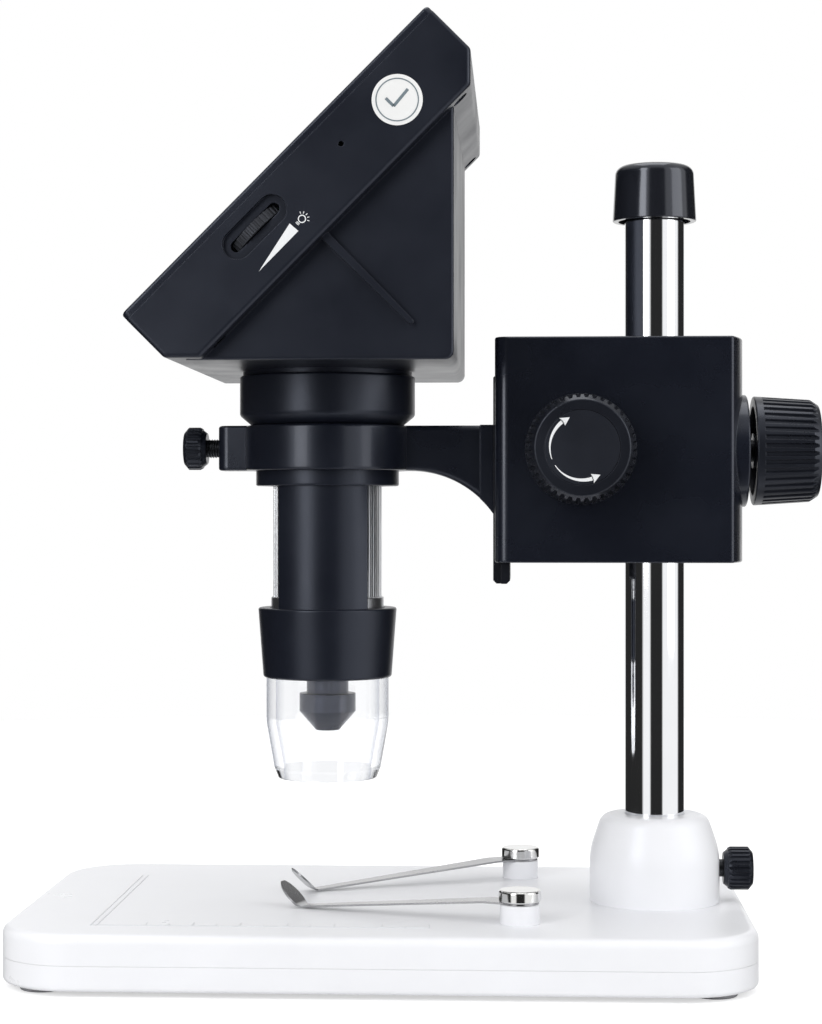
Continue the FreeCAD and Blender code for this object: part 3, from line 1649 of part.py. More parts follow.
def clip_bolts():
    """Bright caps over the clips, each on a bolt into its pillar."""
    bolts = []
    low = stage_z + clip_post_height + clip_thickness + 0.1
    for side in (-1, 1):
        cap = [
            (0, low),
            (clip_cap_radius, low),
            (clip_cap_radius, low + clip_cap_height),
            (0, low + clip_cap_height),
        ]
        x = base_x + clip_post_x
        head = turned(cap, [0, 0.4, 0.7, 0], x, side * clip_post_y)
        shank = upright(x, side * clip_post_y, stage_z - 4.0, low + 0.5, clip_bolt_radius)
        bolts.append(head.fuse(shank))
    return Part.makeCompound(bolts)


export(stage_clip(-1, clip_length_near, clip_angle_near), "stage_clip_near")
export(stage_clip(1, clip_length_far, clip_angle_far), "stage_clip_far")
export(clip_bolts(), "clip_bolts")
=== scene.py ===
import math

import bmesh
import bpy
from mathutils import Matrix, Vector


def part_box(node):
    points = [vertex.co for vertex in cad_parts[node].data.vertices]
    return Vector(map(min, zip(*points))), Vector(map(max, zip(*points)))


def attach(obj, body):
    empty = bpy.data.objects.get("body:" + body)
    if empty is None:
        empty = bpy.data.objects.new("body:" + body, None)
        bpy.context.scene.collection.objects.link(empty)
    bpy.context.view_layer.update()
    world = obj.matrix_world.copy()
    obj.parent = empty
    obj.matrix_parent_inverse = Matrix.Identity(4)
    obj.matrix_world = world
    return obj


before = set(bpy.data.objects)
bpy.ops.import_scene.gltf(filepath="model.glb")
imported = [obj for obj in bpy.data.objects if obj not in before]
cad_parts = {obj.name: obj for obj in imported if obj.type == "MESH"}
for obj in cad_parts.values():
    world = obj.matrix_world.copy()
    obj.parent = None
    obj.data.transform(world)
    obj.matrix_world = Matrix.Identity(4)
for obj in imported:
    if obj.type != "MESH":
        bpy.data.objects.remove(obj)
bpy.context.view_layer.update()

bl_info = {
    "name": "Desk Microscope",
    "version": (1, 0, 0),
    "blender": (4, 5, 0),
    "location": "View3D > Sidebar > Microscope",
    "description": "Finishes, printed marks and studio for a desk microscope with a screen",
    "category": "Object",
}

SLOPE = math.radians(45)
STAGE_Z = 0.016
BASE_CENTRE_X = sum(corner.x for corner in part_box("base_upper_shell")) / 2
HEAD_SIDE_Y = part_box("rear_housing")[0].y
SCREEN_CORNER = Vector((-0.07425, 0.0, 0.1730))
FOCUS_AXIS = sum(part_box("pinion_shaft"), Vector()) / 2
FOCUS_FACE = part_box("knob_inlay_far")[1].y


# Settings
class MicroscopeFinish(bpy.types.PropertyGroup):
    shell_colour: bpy.props.FloatVectorProperty(
        name="Shell", description="White plastic of the base", subtype="COLOR",
        default=(0.90, 0.905, 0.93), min=0, max=1)
    housing_colour: bpy.props.FloatVectorProperty(
        name="Housing", description="Dark plastic of the head and the neck", subtype="COLOR",
        default=(0.0075, 0.009, 0.015), min=0, max=1)
    metal_colour: bpy.props.FloatVectorProperty(
        name="Painted metal", description="Satin paint of the carriage, the arm and the barrel",
        subtype="COLOR", default=(0.0065, 0.0080, 0.0140), min=0, max=1)
    knob_colour: bpy.props.FloatVectorProperty(
        name="Knobs", description="Moulded plastic of every knob", subtype="COLOR",
        default=(0.0075, 0.0085, 0.0125), min=0, max=1)
    chrome_colour: bpy.props.FloatVectorProperty(
        name="Chrome", description="Plating of the column", subtype="COLOR",
        default=(0.88, 0.89, 0.91), min=0, max=1)
    ring_colour: bpy.props.FloatVectorProperty(
        name="Focus ring", description="Bare metal of the ribbed focus ring", subtype="COLOR",
        default=(0.62, 0.63, 0.65), min=0, max=1)
    print_colour: bpy.props.FloatVectorProperty(
        name="Print", description="Ink of the marks on the head and the knobs", subtype="COLOR",
        default=(0.78, 0.79, 0.80), min=0, max=1)
    gloss: bpy.props.FloatProperty(
        name="Shell roughness", description="Roughness of the white shell", subtype="FACTOR",
        default=0.32, min=0.05, max=1)


class MicroscopeSizes(bpy.types.PropertyGroup):
    arrow_radius: bpy.props.FloatProperty(
        name="Arrow radius", description="Mean radius of the arrows on the focus knobs",
        subtype="DISTANCE", unit="LENGTH", default=0.0085, min=0.004, max=0.011)
    print_height: bpy.props.FloatProperty(
        name="Ink height", description="How far the printed marks stand out",
        subtype="DISTANCE", unit="LENGTH", default=0.00006, min=0.00002, max=0.0003)
    ruler_pitch: bpy.props.FloatProperty(
        name="Ruler pitch", description="Distance between the long strokes of the stage ruler",
        subtype="DISTANCE", unit="LENGTH", default=0.01225, min=0.005, max=0.02)
    ruler_height: bpy.props.FloatProperty(
        name="Ruler height", description="How far the ruler stands out of the stage",
        subtype="DISTANCE", unit="LENGTH", default=0.00018, min=0.00005, max=0.0005)
    thread_pitch: bpy.props.FloatProperty(
        name="Thread pitch", description="Pitch of the threads on the small studs",
        subtype="DISTANCE", unit="LENGTH", default=0.0007, min=0.0004, max=0.0015)


class MicroscopeStage(bpy.types.PropertyGroup):
    floor_colour: bpy.props.FloatVectorProperty(
        name="Floor", description="Pale colour of the floor", subtype="COLOR",
        default=(0.80, 0.80, 0.80), min=0, max=1)
    floor_radius: bpy.props.FloatProperty(
        name="Floor radius", description="Radius of the round floor", subtype="DISTANCE",
        unit="LENGTH", default=0.75, min=0.3, max=6)
    floor_glow: bpy.props.FloatProperty(
        name="Floor glow", description="Brightness added to the floor where it is seen directly",
        default=0.50, min=0, max=1)
    key_power: bpy.props.FloatProperty(
        name="Left softbox", description="Power of the tall softbox on the left",
        subtype="POWER", unit="POWER", default=4.2, min=0, max=50)
    fill_power: bpy.props.FloatProperty(
        name="Right softbox", description="Power of the tall softbox on the right",
        subtype="POWER", unit="POWER", default=2.9, min=0, max=50)
    top_power: bpy.props.FloatProperty(
        name="Top softbox", description="Power of the softbox overhead",
        subtype="POWER", unit="POWER", default=4.0, min=0, max=50)
    room_strength: bpy.props.FloatProperty(
        name="Room light", description="Brightness of the light that comes from all round",
        default=0.70, min=0, max=2)
    wall_shade: bpy.props.FloatProperty(
        name="Wall shade", description="Brightness of the dark walls that metal mirrors",
        default=0.022, min=0, max=1)
    focal_length: bpy.props.FloatProperty(
        name="Focal length", description="Lens of the camera", subtype="DISTANCE_CAMERA",
        default=80.75, min=20, max=300)


# Node helpers
NOISE_SPAN = (0.3, 0.7)  # where most of a noise texture's values lie
PATCH_SCALE = 46.0
COOL_REFLECTION = (0.78, 0.84, 1.0, 1)


def start_material(name):
    material = bpy.data.materials.new(name)
    material.use_nodes = True
    tree = material.node_tree
    return material, tree, tree.nodes["Principled BSDF"]


def add(tree, kind, **values):
    node = tree.nodes.new(kind)
    for key, value in values.items():
        setattr(node, key, value)
    return node


def object_coordinates(tree, stretch=(1.0, 1.0, 1.0)):
    coordinates = add(tree, "ShaderNodeTexCoord")
    mapping = add(tree, "ShaderNodeMapping")
    mapping.inputs["Scale"].default_value = stretch
    tree.links.new(coordinates.outputs["Object"], mapping.inputs["Vector"])
    return mapping.outputs["Vector"]


def noise(tree, vector, scale, detail=4.0):
    node = add(tree, "ShaderNodeTexNoise")
    node.inputs["Scale"].default_value = scale
    node.inputs["Detail"].default_value = detail
    node.inputs["Roughness"].default_value = 0.55
    tree.links.new(vector, node.inputs["Vector"])
    return node.outputs["Fac"]


def span(tree, value, low, high, source=NOISE_SPAN):
    node = add(tree, "ShaderNodeMapRange")
    node.inputs["From Min"].default_value = source[0]
    node.inputs["From Max"].default_value = source[1]
    node.inputs["To Min"].default_value = low
    node.inputs["To Max"].default_value = high
    tree.links.new(value, node.inputs["Value"])
    return node.outputs["Result"]


def shade(tree, value, dark, light):
    ramp = add(tree, "ShaderNodeValToRGB")
    ramp.color_ramp.elements[0].position = NOISE_SPAN[0]
    ramp.color_ramp.elements[1].position = NOISE_SPAN[1]
    ramp.color_ramp.elements[0].color = (*dark, 1)
    ramp.color_ramp.elements[1].color = (*light, 1)
    tree.links.new(value, ramp.inputs["Fac"])
    return ramp.outputs["Color"]


def scaled(colour, factor):
    return tuple(min(1.0, c * factor) for c in colour)


def bump(tree, shader, heights, edge):
    """Chains the (height, depth) pairs into the shader's normal, on edges rounded by edge."""
    normal = None
    if edge:
        rounding = add(tree, "ShaderNodeBevel", samples=4)
        rounding.inputs["Radius"].default_value = edge
        normal = rounding.outputs["Normal"]
    for height, depth in heights:
        node = add(tree, "ShaderNodeBump")
        node.inputs["Distance"].default_value = depth
        tree.links.new(height, node.inputs["Height"])
        if normal:
            tree.links.new(normal, node.inputs["Normal"])
        normal = node.outputs["Normal"]
    if normal:
        tree.links.new(normal, shader.inputs["Normal"])


def finish(name, colour, roughness, spread=0.05, grain=2600.0, depth=0.00001, variation=0.06,
           metallic=0.0, coat=0.0, edge=0.00025, stretch=(1.0, 1.0, 1.0)):
    """A moulded, painted or machined surface with fine grain, patchy gloss and slightly patchy
    colour.
    """
    material, tree, shader = start_material(name)
    broad_vector = object_coordinates(tree)
    fine_vector = object_coordinates(tree, stretch)
    broad = noise(tree, broad_vector, PATCH_SCALE, 5.0)
    fine = noise(tree, fine_vector, grain, 2.0)
    tint = shade(tree, broad, scaled(colour, 1 - variation), scaled(colour, 1 + variation))
    tree.links.new(tint, shader.inputs["Base Color"])
    gloss = span(tree, broad, roughness - spread, roughness + spread)
    tree.links.new(gloss, shader.inputs["Roughness"])
    shader.inputs["Metallic"].default_value = metallic
    shader.inputs["Coat Weight"].default_value = coat
    shader.inputs["Coat Roughness"].default_value = 0.08
    if metallic == 0:
        shader.inputs["Specular Tint"].default_value = COOL_REFLECTION
    bump(tree, shader, [(fine, depth)], edge)
    return material


def clear_finish(name, colour, edge_colour, roughness, ior):
    """Clear moulded plastic or glass with faint haze, its grazing edges tinted."""
    material, tree, shader = start_material(name)
    haze = noise(tree, object_coordinates(tree), 60.0, 4.0)
    tree.links.new(span(tree, haze, roughness, roughness + 0.03), shader.inputs["Roughness"])
    slant = add(tree, "ShaderNodeLayerWeight")
    slant.inputs["Blend"].default_value = 0.35
    ramp = add(tree, "ShaderNodeValToRGB")
    ramp.color_ramp.elements[0].position = 0.32
    ramp.color_ramp.elements[0].color = (*colour, 1)
    ramp.color_ramp.elements[1].position = 0.72
    ramp.color_ramp.elements[1].color = (*edge_colour, 1)
    tree.links.new(slant.outputs["Facing"], ramp.inputs["Fac"])
    tree.links.new(ramp.outputs["Color"], shader.inputs["Base Color"])
    shader.inputs["Transmission Weight"].default_value = 1.0
    shader.inputs["IOR"].default_value = ior
    return material


def board_finish(name):
    """Green lacquered board with faint copper tracks."""
    material, tree, shader = start_material(name)
    vector = object_coordinates(tree)
    tracks = add(tree, "ShaderNodeTexBrick")
    tracks.inputs["Scale"].default_value = 120.0
    tracks.inputs["Mortar Size"].default_value = 0.03
    tracks.inputs["Color1"].default_value = (0.01, 0.10, 0.035, 1)
    tracks.inputs["Color2"].default_value = (0.008, 0.08, 0.03, 1)
    tracks.inputs["Mortar"].default_value = (0.03, 0.20, 0.08, 1)
    tree.links.new(vector, tracks.inputs["Vector"])
    tree.links.new(tracks.outputs["Color"], shader.inputs["Base Color"])
    patch = noise(tree, vector, 90.0)
    tree.links.new(span(tree, patch, 0.25, 0.4), shader.inputs["Roughness"])
    bump(tree, shader, [(tracks.outputs["Fac"], 0.00003)], 0.0)
    return material


# Piece helpers
THREAD_SEGMENTS = 20


def dress(material, *names):
    """Gives CAD nodes a material in every slot they have."""
    for name in names:
        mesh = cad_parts[name].data
        if not mesh.materials:
            mesh.materials.append(material)
        for index in range(len(mesh.materials)):
            mesh.materials[index] = material


def make_piece(name, bm, body, material):
    """Turns a bmesh into a finished object that rides on a body."""
    bmesh.ops.remove_doubles(bm, verts=bm.verts, dist=1e-7)
    bmesh.ops.recalc_face_normals(bm, faces=bm.faces)
    mesh = bpy.data.meshes.new(name)
    bm.to_mesh(mesh)
    bm.free()
    mesh.materials.append(material)
    piece = bpy.data.objects.new(name, mesh)
    bpy.context.scene.collection.objects.link(piece)
    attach(piece, body)


def raise_faces(bm, faces, offset):
    """Gives flat faces a thickness along offset."""
    raised = bmesh.ops.extrude_face_region(bm, geom=faces, use_keep_orig=True)
    points = [item for item in raised["geom"] if isinstance(item, bmesh.types.BMVert)]
    bmesh.ops.translate(bm, verts=points, vec=offset)


def add_bar(bm, centre, size, turn=None):
    """A box of that size, turned about its own centre."""
    made = bmesh.ops.create_cube(bm, size=1.0)["verts"]
    bmesh.ops.scale(bm, verts=made, vec=size)
    if turn:
        bmesh.ops.rotate(bm, verts=made, matrix=turn)
    bmesh.ops.translate(bm, verts=made, vec=centre)


def add_ring(bm, outer, inner, segments):
    """A flat ring in the plane of the head's side; returns its faces."""
    upright = Matrix.Rotation(math.radians(90), 4, "X")
    points = []
    for radius in (outer, inner):
        made = bmesh.ops.create_circle(bm, segments=segments, radius=radius, matrix=upright)
        points += made["verts"]
    edges = list({edge for point in points for edge in point.link_edges})
    return bmesh.ops.bridge_loops(bm, edges=edges)["faces"]


def head_point(u, v, y):
    """A point given along the screen, through the head, and across it."""
    along = Vector((math.cos(SLOPE), 0.0, math.sin(SLOPE)))
    through = Vector((math.cos(SLOPE), 0.0, -math.sin(SLOPE)))
    return SCREEN_CORNER + along * u + through * v + Vector((0.0, y, 0.0))


def flat_polygon(bm, points):
    corners = [bmesh.ops.create_vert(bm, co=point)["vert"][0] for point in points]
    return bmesh.ops.contextual_create(bm, geom=corners)["faces"]


def add_thread(bm, start, axis, radius, pitch, length, depth):
    """A helical ridge wound round a stud, its foot sunk a little into the stud."""
    sunk = radius * 0.94
    axis = Vector(axis).normalized()
    side = axis.orthogonal().normalized()
    base = Vector(start)
    corners = [
        base + side * sunk,
        base + side * (radius + depth) + axis * pitch * 0.5,
        base + side * sunk + axis * pitch * 0.86,
    ]
    loop = flat_polygon(bm, corners)
    turns = length / pitch - 1.0
    steps = int(turns * THREAD_SEGMENTS)
    geometry = [item for face in loop for item in (face, *face.edges, *face.verts)]
    bmesh.ops.spin(
        bm, geom=geometry, cent=base, axis=axis, dvec=axis * (pitch * turns / steps),
        angle=turns * math.tau, steps=steps, use_duplicate=False)


# Base
class MICROSCOPE_OT_base(bpy.types.Operator):
    """Finishes the base, its feet and its screws"""
    bl_idname = "microscope.base"
    bl_label = "Base"

    def execute(self, context):
        look = context.scene.microscope_finish
        shell = finish(
            "white shell", look.shell_colour, look.gloss, spread=0.05, grain=2100.0,
            depth=0.000006, variation=0.015, edge=0.0004)
        rubber = finish(
            "rubber feet", (0.30, 0.30, 0.31), 0.82, spread=0.06, grain=1600.0, depth=0.00004,
            variation=0.15)
        steel = finish(
            "plated screws", (0.55, 0.56, 0.58), 0.28, spread=0.08, grain=3000.0, depth=0.000004,
            variation=0.05, metallic=1.0, edge=0.0001)
        dress(shell, "base_upper_shell", "base_tray")
        dress(rubber, "base_feet")
        dress(steel, "base_screws")
        return {"FINISHED"}


RULER_CORNER = (-0.0743, -0.0460)  # from the middle of the base
RULER_LINE = 0.0003
RULER_SINK = 0.00002
RULER_DOUBLE_GAP = 0.0016
RULER_DEPTH = 0.0812
RULER_DEPTH_MIDDLE = 0.0403
RULER_WIDTH = 0.0880
RULER_FIRST_STROKE = -0.0602
RULER_STROKES = 13
RULER_LONG_STROKE = 0.0042
RULER_SHORT_STROKE = 0.0024


class MICROSCOPE_OT_ruler(bpy.types.Operator):
    """Moulds the ruler into the top of the base"""
    bl_idname = "microscope.ruler"
    bl_label = "Stage ruler"

    def execute(self, context):
        sizes = context.scene.microscope_sizes
        height = sizes.ruler_height
        level = STAGE_Z + height / 2 - RULER_SINK
        bm = bmesh.new()
        corner_x = BASE_CENTRE_X + RULER_CORNER[0]
        corner_y = RULER_CORNER[1]
        for offset in (0.0, RULER_DOUBLE_GAP):
            add_bar(bm, (corner_x + offset, corner_y + RULER_DEPTH_MIDDLE, level),
                    (RULER_LINE, RULER_DEPTH, height))
        add_bar(bm, (corner_x + RULER_WIDTH / 2, corner_y, level),
                (RULER_WIDTH, RULER_LINE, height))
        for count in range(RULER_STROKES):
            stroke = RULER_LONG_STROKE if count % 2 == 0 else RULER_SHORT_STROKE
            x = BASE_CENTRE_X + RULER_FIRST_STROKE + count * sizes.ruler_pitch / 2
            add_bar(bm, (x, corner_y + stroke / 2, level), (RULER_LINE, stroke, height))
        make_piece("stage_ruler", bm, "base",
                   bpy.data.materials["white shell"])
        return {"FINISHED"}


# Column and carriage
class MICROSCOPE_OT_column(bpy.types.Operator):
    """Plates the column and finishes its cap, plug and lock"""
    bl_idname = "microscope.column"
    bl_label = "Column"

    def execute(self, context):
        look = context.scene.microscope_finish
        chrome = finish(
            "chrome", look.chrome_colour, 0.055, spread=0.02, grain=900.0, depth=0.0000006,
            variation=0.02, metallic=1.0, edge=0.0, stretch=(1.0, 1.0, 0.02))
        gloss = finish(
            "gloss black", (0.011, 0.012, 0.016), 0.16, spread=0.04, grain=900.0, depth=0.000002,
            variation=0.08, coat=0.5, edge=0.0004)
        knob = finish(
            "knob plastic", look.knob_colour, 0.30, spread=0.06, grain=2400.0, depth=0.000008,
            variation=0.1, edge=0.0003)
        steel = finish(
            "turned steel", (0.50, 0.51, 0.53), 0.26, spread=0.08, grain=2600.0, depth=0.000004,
            variation=0.06, metallic=1.0, edge=0.0001)
        blackened = finish(
            "blackened steel", (0.035, 0.037, 0.042), 0.30, spread=0.08, grain=2600.0,
            depth=0.000003, variation=0.1, metallic=0.8, edge=0.0001)
        dress(chrome, "column_tube")
        dress(gloss, "column_cap")
        dress(knob, "column_lock_knob", "column_plug")
        dress(steel, "column_lock_nut")
        dress(blackened, "column_lock_stud")
        return {"FINISHED"}


class MICROSCOPE_OT_carriage(bpy.types.Operator):
    """Finishes the carriage, its slide, its rack and its lock"""
    bl_idname = "microscope.carriage"
    bl_label = "Carriage"

    def execute(self, context):
        look = context.scene.microscope_finish
        paint = finish(
            "carriage paint", look.metal_colour, 0.27, spread=0.05, grain=1900.0, depth=0.000004,
            variation=0.1, coat=0.25, edge=0.0005)
        satin = finish(
            "slide anodising", look.metal_colour, 0.36, spread=0.05, grain=2200.0, depth=0.000004,
            variation=0.1, metallic=0.4, edge=0.0003, stretch=(1.0, 1.0, 0.05))
        brass = finish(
            "brass", (0.68, 0.50, 0.22), 0.3, spread=0.08, grain=2200.0, depth=0.000004,
            variation=0.08, metallic=1.0, edge=0.0001)
        steel = bpy.data.materials["turned steel"]
        dress(paint, "carriage_block")
        dress(satin, "slide_plate")
        dress(brass, "rack", "shaft_bushes", "lock_insert")
        dress(steel, "pinion_shaft", "arm_screws")
        dress(bpy.data.materials["blackened steel"], "lock_stud")
        dress(bpy.data.materials["knob plastic"], "lock_knob")
        return {"FINISHED"}


ARROW_THIN = 0.00016
ARROW_BROAD = 0.0010
ARROW_HEAD_WIDTH = 0.0025
ARROW_HEAD_SWEEP = 0.27
ARROW_TIP = 0.00002
ARROW_TURNS = ((201, -74), (213, 76))  # start and sweep of each arrow, in degrees


class MICROSCOPE_OT_focus_knobs(bpy.types.Operator):
    """Finishes the two focus knobs and prints the direction arrows on their faces"""
    bl_idname = "microscope.focus_knobs"
    bl_label = "Focus knobs"

    def grow(self, bm, front, turn, width):
        """Carries the arrow's front edge on by a turn about the axis and gives it a width."""
        edges = [item for item in front if isinstance(item, bmesh.types.BMEdge)]
        front = bmesh.ops.extrude_edge_only(bm, edges=edges)["geom"]
        points = [item for item in front if isinstance(item, bmesh.types.BMVert)]
        turning = Matrix.Rotation(-turn, 3, "Y")
        bmesh.ops.rotate(bm, verts=points, cent=(0, 0, 0), matrix=turning)
        middle = (points[0].co + points[1].co) / 2
        ratio = width / (points[0].co - points[1].co).length
        bmesh.ops.scale(bm, verts=points, vec=(ratio,) * 3, space=Matrix.Translation(-middle))
        return front

    def arrow(self, bm, start, sweep, radius, side, lift):
        """A curved arrow round the knob's axis, thin at its start."""
        steps = 24
        edge = [
            bmesh.ops.create_vert(bm, co=(r * math.cos(start), 0.0, r * math.sin(start)))["vert"][0]
            for r in (radius - ARROW_THIN / 2, radius + ARROW_THIN / 2)
        ]
        front = bmesh.ops.contextual_create(bm, geom=edge)["edges"]
        for step in range(1, steps + 1):
            width = ARROW_THIN + (ARROW_BROAD - ARROW_THIN) * step / steps
            front = self.grow(bm, front, sweep / steps, width)
        front = self.grow(bm, front, -sweep / steps / 2, ARROW_HEAD_WIDTH)
        self.grow(bm, front, math.copysign(ARROW_HEAD_SWEEP, sweep), ARROW_TIP)
        raise_faces(bm, bm.faces[:], (0, side * lift, 0))

    def execute(self, context):
        look = context.scene.microscope_finish
        sizes = context.scene.microscope_sizes
        ink = finish(
            "white ink", look.print_colour, 0.5, spread=0.08, grain=3200.0, depth=0.000004,
            variation=0.04, edge=0.0)
        inlay = finish(
            "knob inlay", scaled(look.knob_colour, 1.15), 0.38, spread=0.06, grain=1800.0,
            depth=0.000008, variation=0.1, edge=0.0001)
        dress(bpy.data.materials["knob plastic"], "focus_knob_near", "focus_knob_far")
        dress(inlay, "knob_inlay_near", "knob_inlay_far")
        for name, side in (("near", -1), ("far", 1)):
            bm = bmesh.new()
            for start, sweep in ARROW_TURNS:
                part = bmesh.new()
                self.arrow(part, math.radians(start), math.radians(sweep), sizes.arrow_radius,
                           side, sizes.print_height)
                mesh = bpy.data.meshes.new("arrow")
                part.to_mesh(mesh)
                part.free()
                bm.from_mesh(mesh)
                bpy.data.meshes.remove(mesh)
            if side > 0:
                bmesh.ops.scale(bm, verts=bm.verts, vec=(-1, 1, 1))
            bmesh.ops.translate(
                bm, verts=bm.verts, vec=FOCUS_AXIS + Vector((0, side * FOCUS_FACE, 0)))
            make_piece(f"focus_arrows_{name}", bm, "focus_shaft", ink)
        return {"FINISHED"}


# Arm and ring
THREAD_END_GAP = 0.0002
THREAD_DEPTH = 0.00025


class MICROSCOPE_OT_arm(bpy.types.Operator):
    """Finishes the holder arm and its ring, and threads the ring screw"""
    bl_idname = "microscope.arm"
    bl_label = "Holder arm"

    def execute(self, context):
        look = context.scene.microscope_finish
        sizes = context.scene.microscope_sizes
        paint = finish(
            "arm paint", look.metal_colour, 0.30, spread=0.05, grain=1900.0, depth=0.000005,
            variation=0.1, coat=0.15, edge=0.0005)
        dress(paint, "holder_arm")
        dress(bpy.data.materials["knob plastic"], "ring_seat")
        blackened = bpy.data.materials["blackened steel"]
        dress(blackened, "ring_screw_stud")
        dress(bpy.data.materials["knob plastic"], "ring_screw_knob")
        low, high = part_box("ring_screw_stud")
        knob_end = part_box("ring_screw_knob")[1].x
        arm_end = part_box("holder_arm")[0].x
        bm = bmesh.new()
        radius = (high.z - low.z) / 2
        start = (knob_end + THREAD_END_GAP, 0.0, (low.z + high.z) / 2)
        length = arm_end - knob_end - 2 * THREAD_END_GAP
        add_thread(bm, start, (1, 0, 0), radius, sizes.thread_pitch, length, THREAD_DEPTH)
        make_piece("ring_screw_thread", bm, "ring_screw", blackened)
        return {"FINISHED"}


# Head
class MICROSCOPE_OT_head(bpy.types.Operator):
    """Finishes the head, its neck and its screen"""
    bl_idname = "microscope.head"
    bl_label = "Head"

    def execute(self, context):
        look = context.scene.microscope_finish
        housing = finish(
            "head plastic", look.housing_colour, 0.34, spread=0.05, grain=2300.0, depth=0.000012,
            variation=0.08, edge=0.0004)
        bezel = finish(
            "bezel plastic", scaled(look.housing_colour, 1.1), 0.30, spread=0.05, grain=2300.0,
            depth=0.000010, variation=0.08, edge=0.0003)
        glass = finish(
            "screen glass", (0.008, 0.009, 0.013), 0.05, spread=0.03, grain=120.0,
            depth=0.0000004, variation=0.05, coat=0.6, edge=0.0)
        button = finish(
            "button plastic", (0.028, 0.029, 0.033), 0.42, spread=0.05, grain=2400.0,
            depth=0.000012, variation=0.08, edge=0.0002)
        socket = finish(
            "socket metal", (0.60, 0.61, 0.63), 0.24, spread=0.08, grain=1800.0, depth=0.000004,
            variation=0.06, metallic=1.0, edge=0.0001)
        paper = finish(
            "sticker paper", (0.80, 0.80, 0.79), 0.55, spread=0.08, grain=900.0, depth=0.000006,
            variation=0.02, edge=0.0)
        dress(housing, "rear_housing", "neck_collar")
        dress(bezel, "front_bezel")
        dress(glass, "screen_glass")
        dress(button, "menu_button_1", "menu_button_2", "menu_button_3", "menu_button_4",
              "menu_button_5", "reset_button", "brightness_dial")
        dress(socket, "usb_socket", "card_socket")
        dress(paper, "round_sticker")
        dress(bpy.data.materials["turned steel"], "housing_screws")
        return {"FINISHED"}


WEDGE_CORNERS = ((0.0325, 0.0173), (0.0465, 0.0143), (0.0467, 0.0172))  # along, through
LAMP_PLACE = (0.0495, 0.0157)
LAMP_RING = (0.00105, 0.00078)
LAMP_LINE = 0.0002
LAMP_FOOT_WIDTH = 0.0010
LAMP_FOOT_DROPS = (0.00135, 0.00172)
LAMP_RAY_REACH = 0.00165
LAMP_RAY_LENGTH = 0.00055
LAMP_RAY_ANGLES = (-60, -30, 0, 30, 60)
STICKER_RING = (0.0055, 0.0052)
TICK_LINE = 0.00075
TICK_STROKES = ((0.0028, -45, -0.0019, -0.0006), (0.0056, 40, 0.0009, 0.0005))


class MICROSCOPE_OT_head_marks(bpy.types.Operator):
    """Prints the brightness wedge, the lamp sign and the tick on the side of the head"""
    bl_idname = "microscope.head_marks"
    bl_label = "Head marks"

    def execute(self, context):
        lift = context.scene.microscope_sizes.print_height
        ink = bpy.data.materials["white ink"]
        out = Vector((0.0, -lift, 0.0))
        wedge = bmesh.new()
        corners = [head_point(u, v, HEAD_SIDE_Y) for u, v in WEDGE_CORNERS]
        raise_faces(wedge, flat_polygon(wedge, corners), out)
        make_piece("brightness_wedge", wedge, "head", ink)

        lamp = bmesh.new()
        raise_faces(lamp, add_ring(lamp, *LAMP_RING, 28), out)
        for drop in LAMP_FOOT_DROPS:
            add_bar(lamp, (0.0, -lift / 2, -drop), (LAMP_FOOT_WIDTH, lift, LAMP_LINE))
        for angle in LAMP_RAY_ANGLES:
            turn = Matrix.Rotation(math.radians(angle), 3, "Y")
            middle = turn @ Vector((0.0, -lift / 2, LAMP_RAY_REACH))
            add_bar(lamp, middle, (LAMP_LINE, lift, LAMP_RAY_LENGTH), turn)
        lean = Matrix.Rotation(SLOPE, 3, "Y")
        bmesh.ops.rotate(lamp, verts=lamp.verts, matrix=lean)
        bmesh.ops.translate(lamp, verts=lamp.verts, vec=head_point(*LAMP_PLACE, HEAD_SIDE_Y))
        make_piece("lamp_sign", lamp, "head", ink)

        low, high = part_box("round_sticker")
        middle = (low + high) / 2
        tick = bmesh.new()
        grey = finish(
            "grey ink", (0.16, 0.20, 0.22), 0.5, spread=0.06, grain=2600.0, depth=0.000003,
            variation=0.05, edge=0.0)
        for length, angle, x, z in TICK_STROKES:
            turn = Matrix.Rotation(math.radians(angle), 3, "Y")
            add_bar(tick, Vector((x, 0.0, z)), (TICK_LINE, lift, length), turn)
        raise_faces(tick, add_ring(tick, *STICKER_RING, 56), (0.0, -lift / 2, 0.0))
        bmesh.ops.translate(tick, verts=tick.verts, vec=(middle.x, low.y - lift / 2, middle.z))
        make_piece("sticker_tick", tick, "head", grey)
        return {"FINISHED"}


class MICROSCOPE_OT_electronics(bpy.types.Operator):
    """Finishes the boards, the cell and the small parts inside the head"""
    bl_idname = "microscope.electronics"
    bl_label = "Electronics"

    def execute(self, context):
        board = board_finish("circuit board")
        wrap = finish(
            "battery wrap", (0.05, 0.16, 0.42), 0.35, spread=0.06, grain=700.0, depth=0.000008,
            variation=0.06)
        dress(board, "main_board", "sensor_board", "led_board")
        dress(wrap, "battery_cell")
        dress(bpy.data.materials["socket metal"], "display_module")
        dress(bpy.data.materials["button plastic"], "dial_base", "reset_switch")
        return {"FINISHED"}


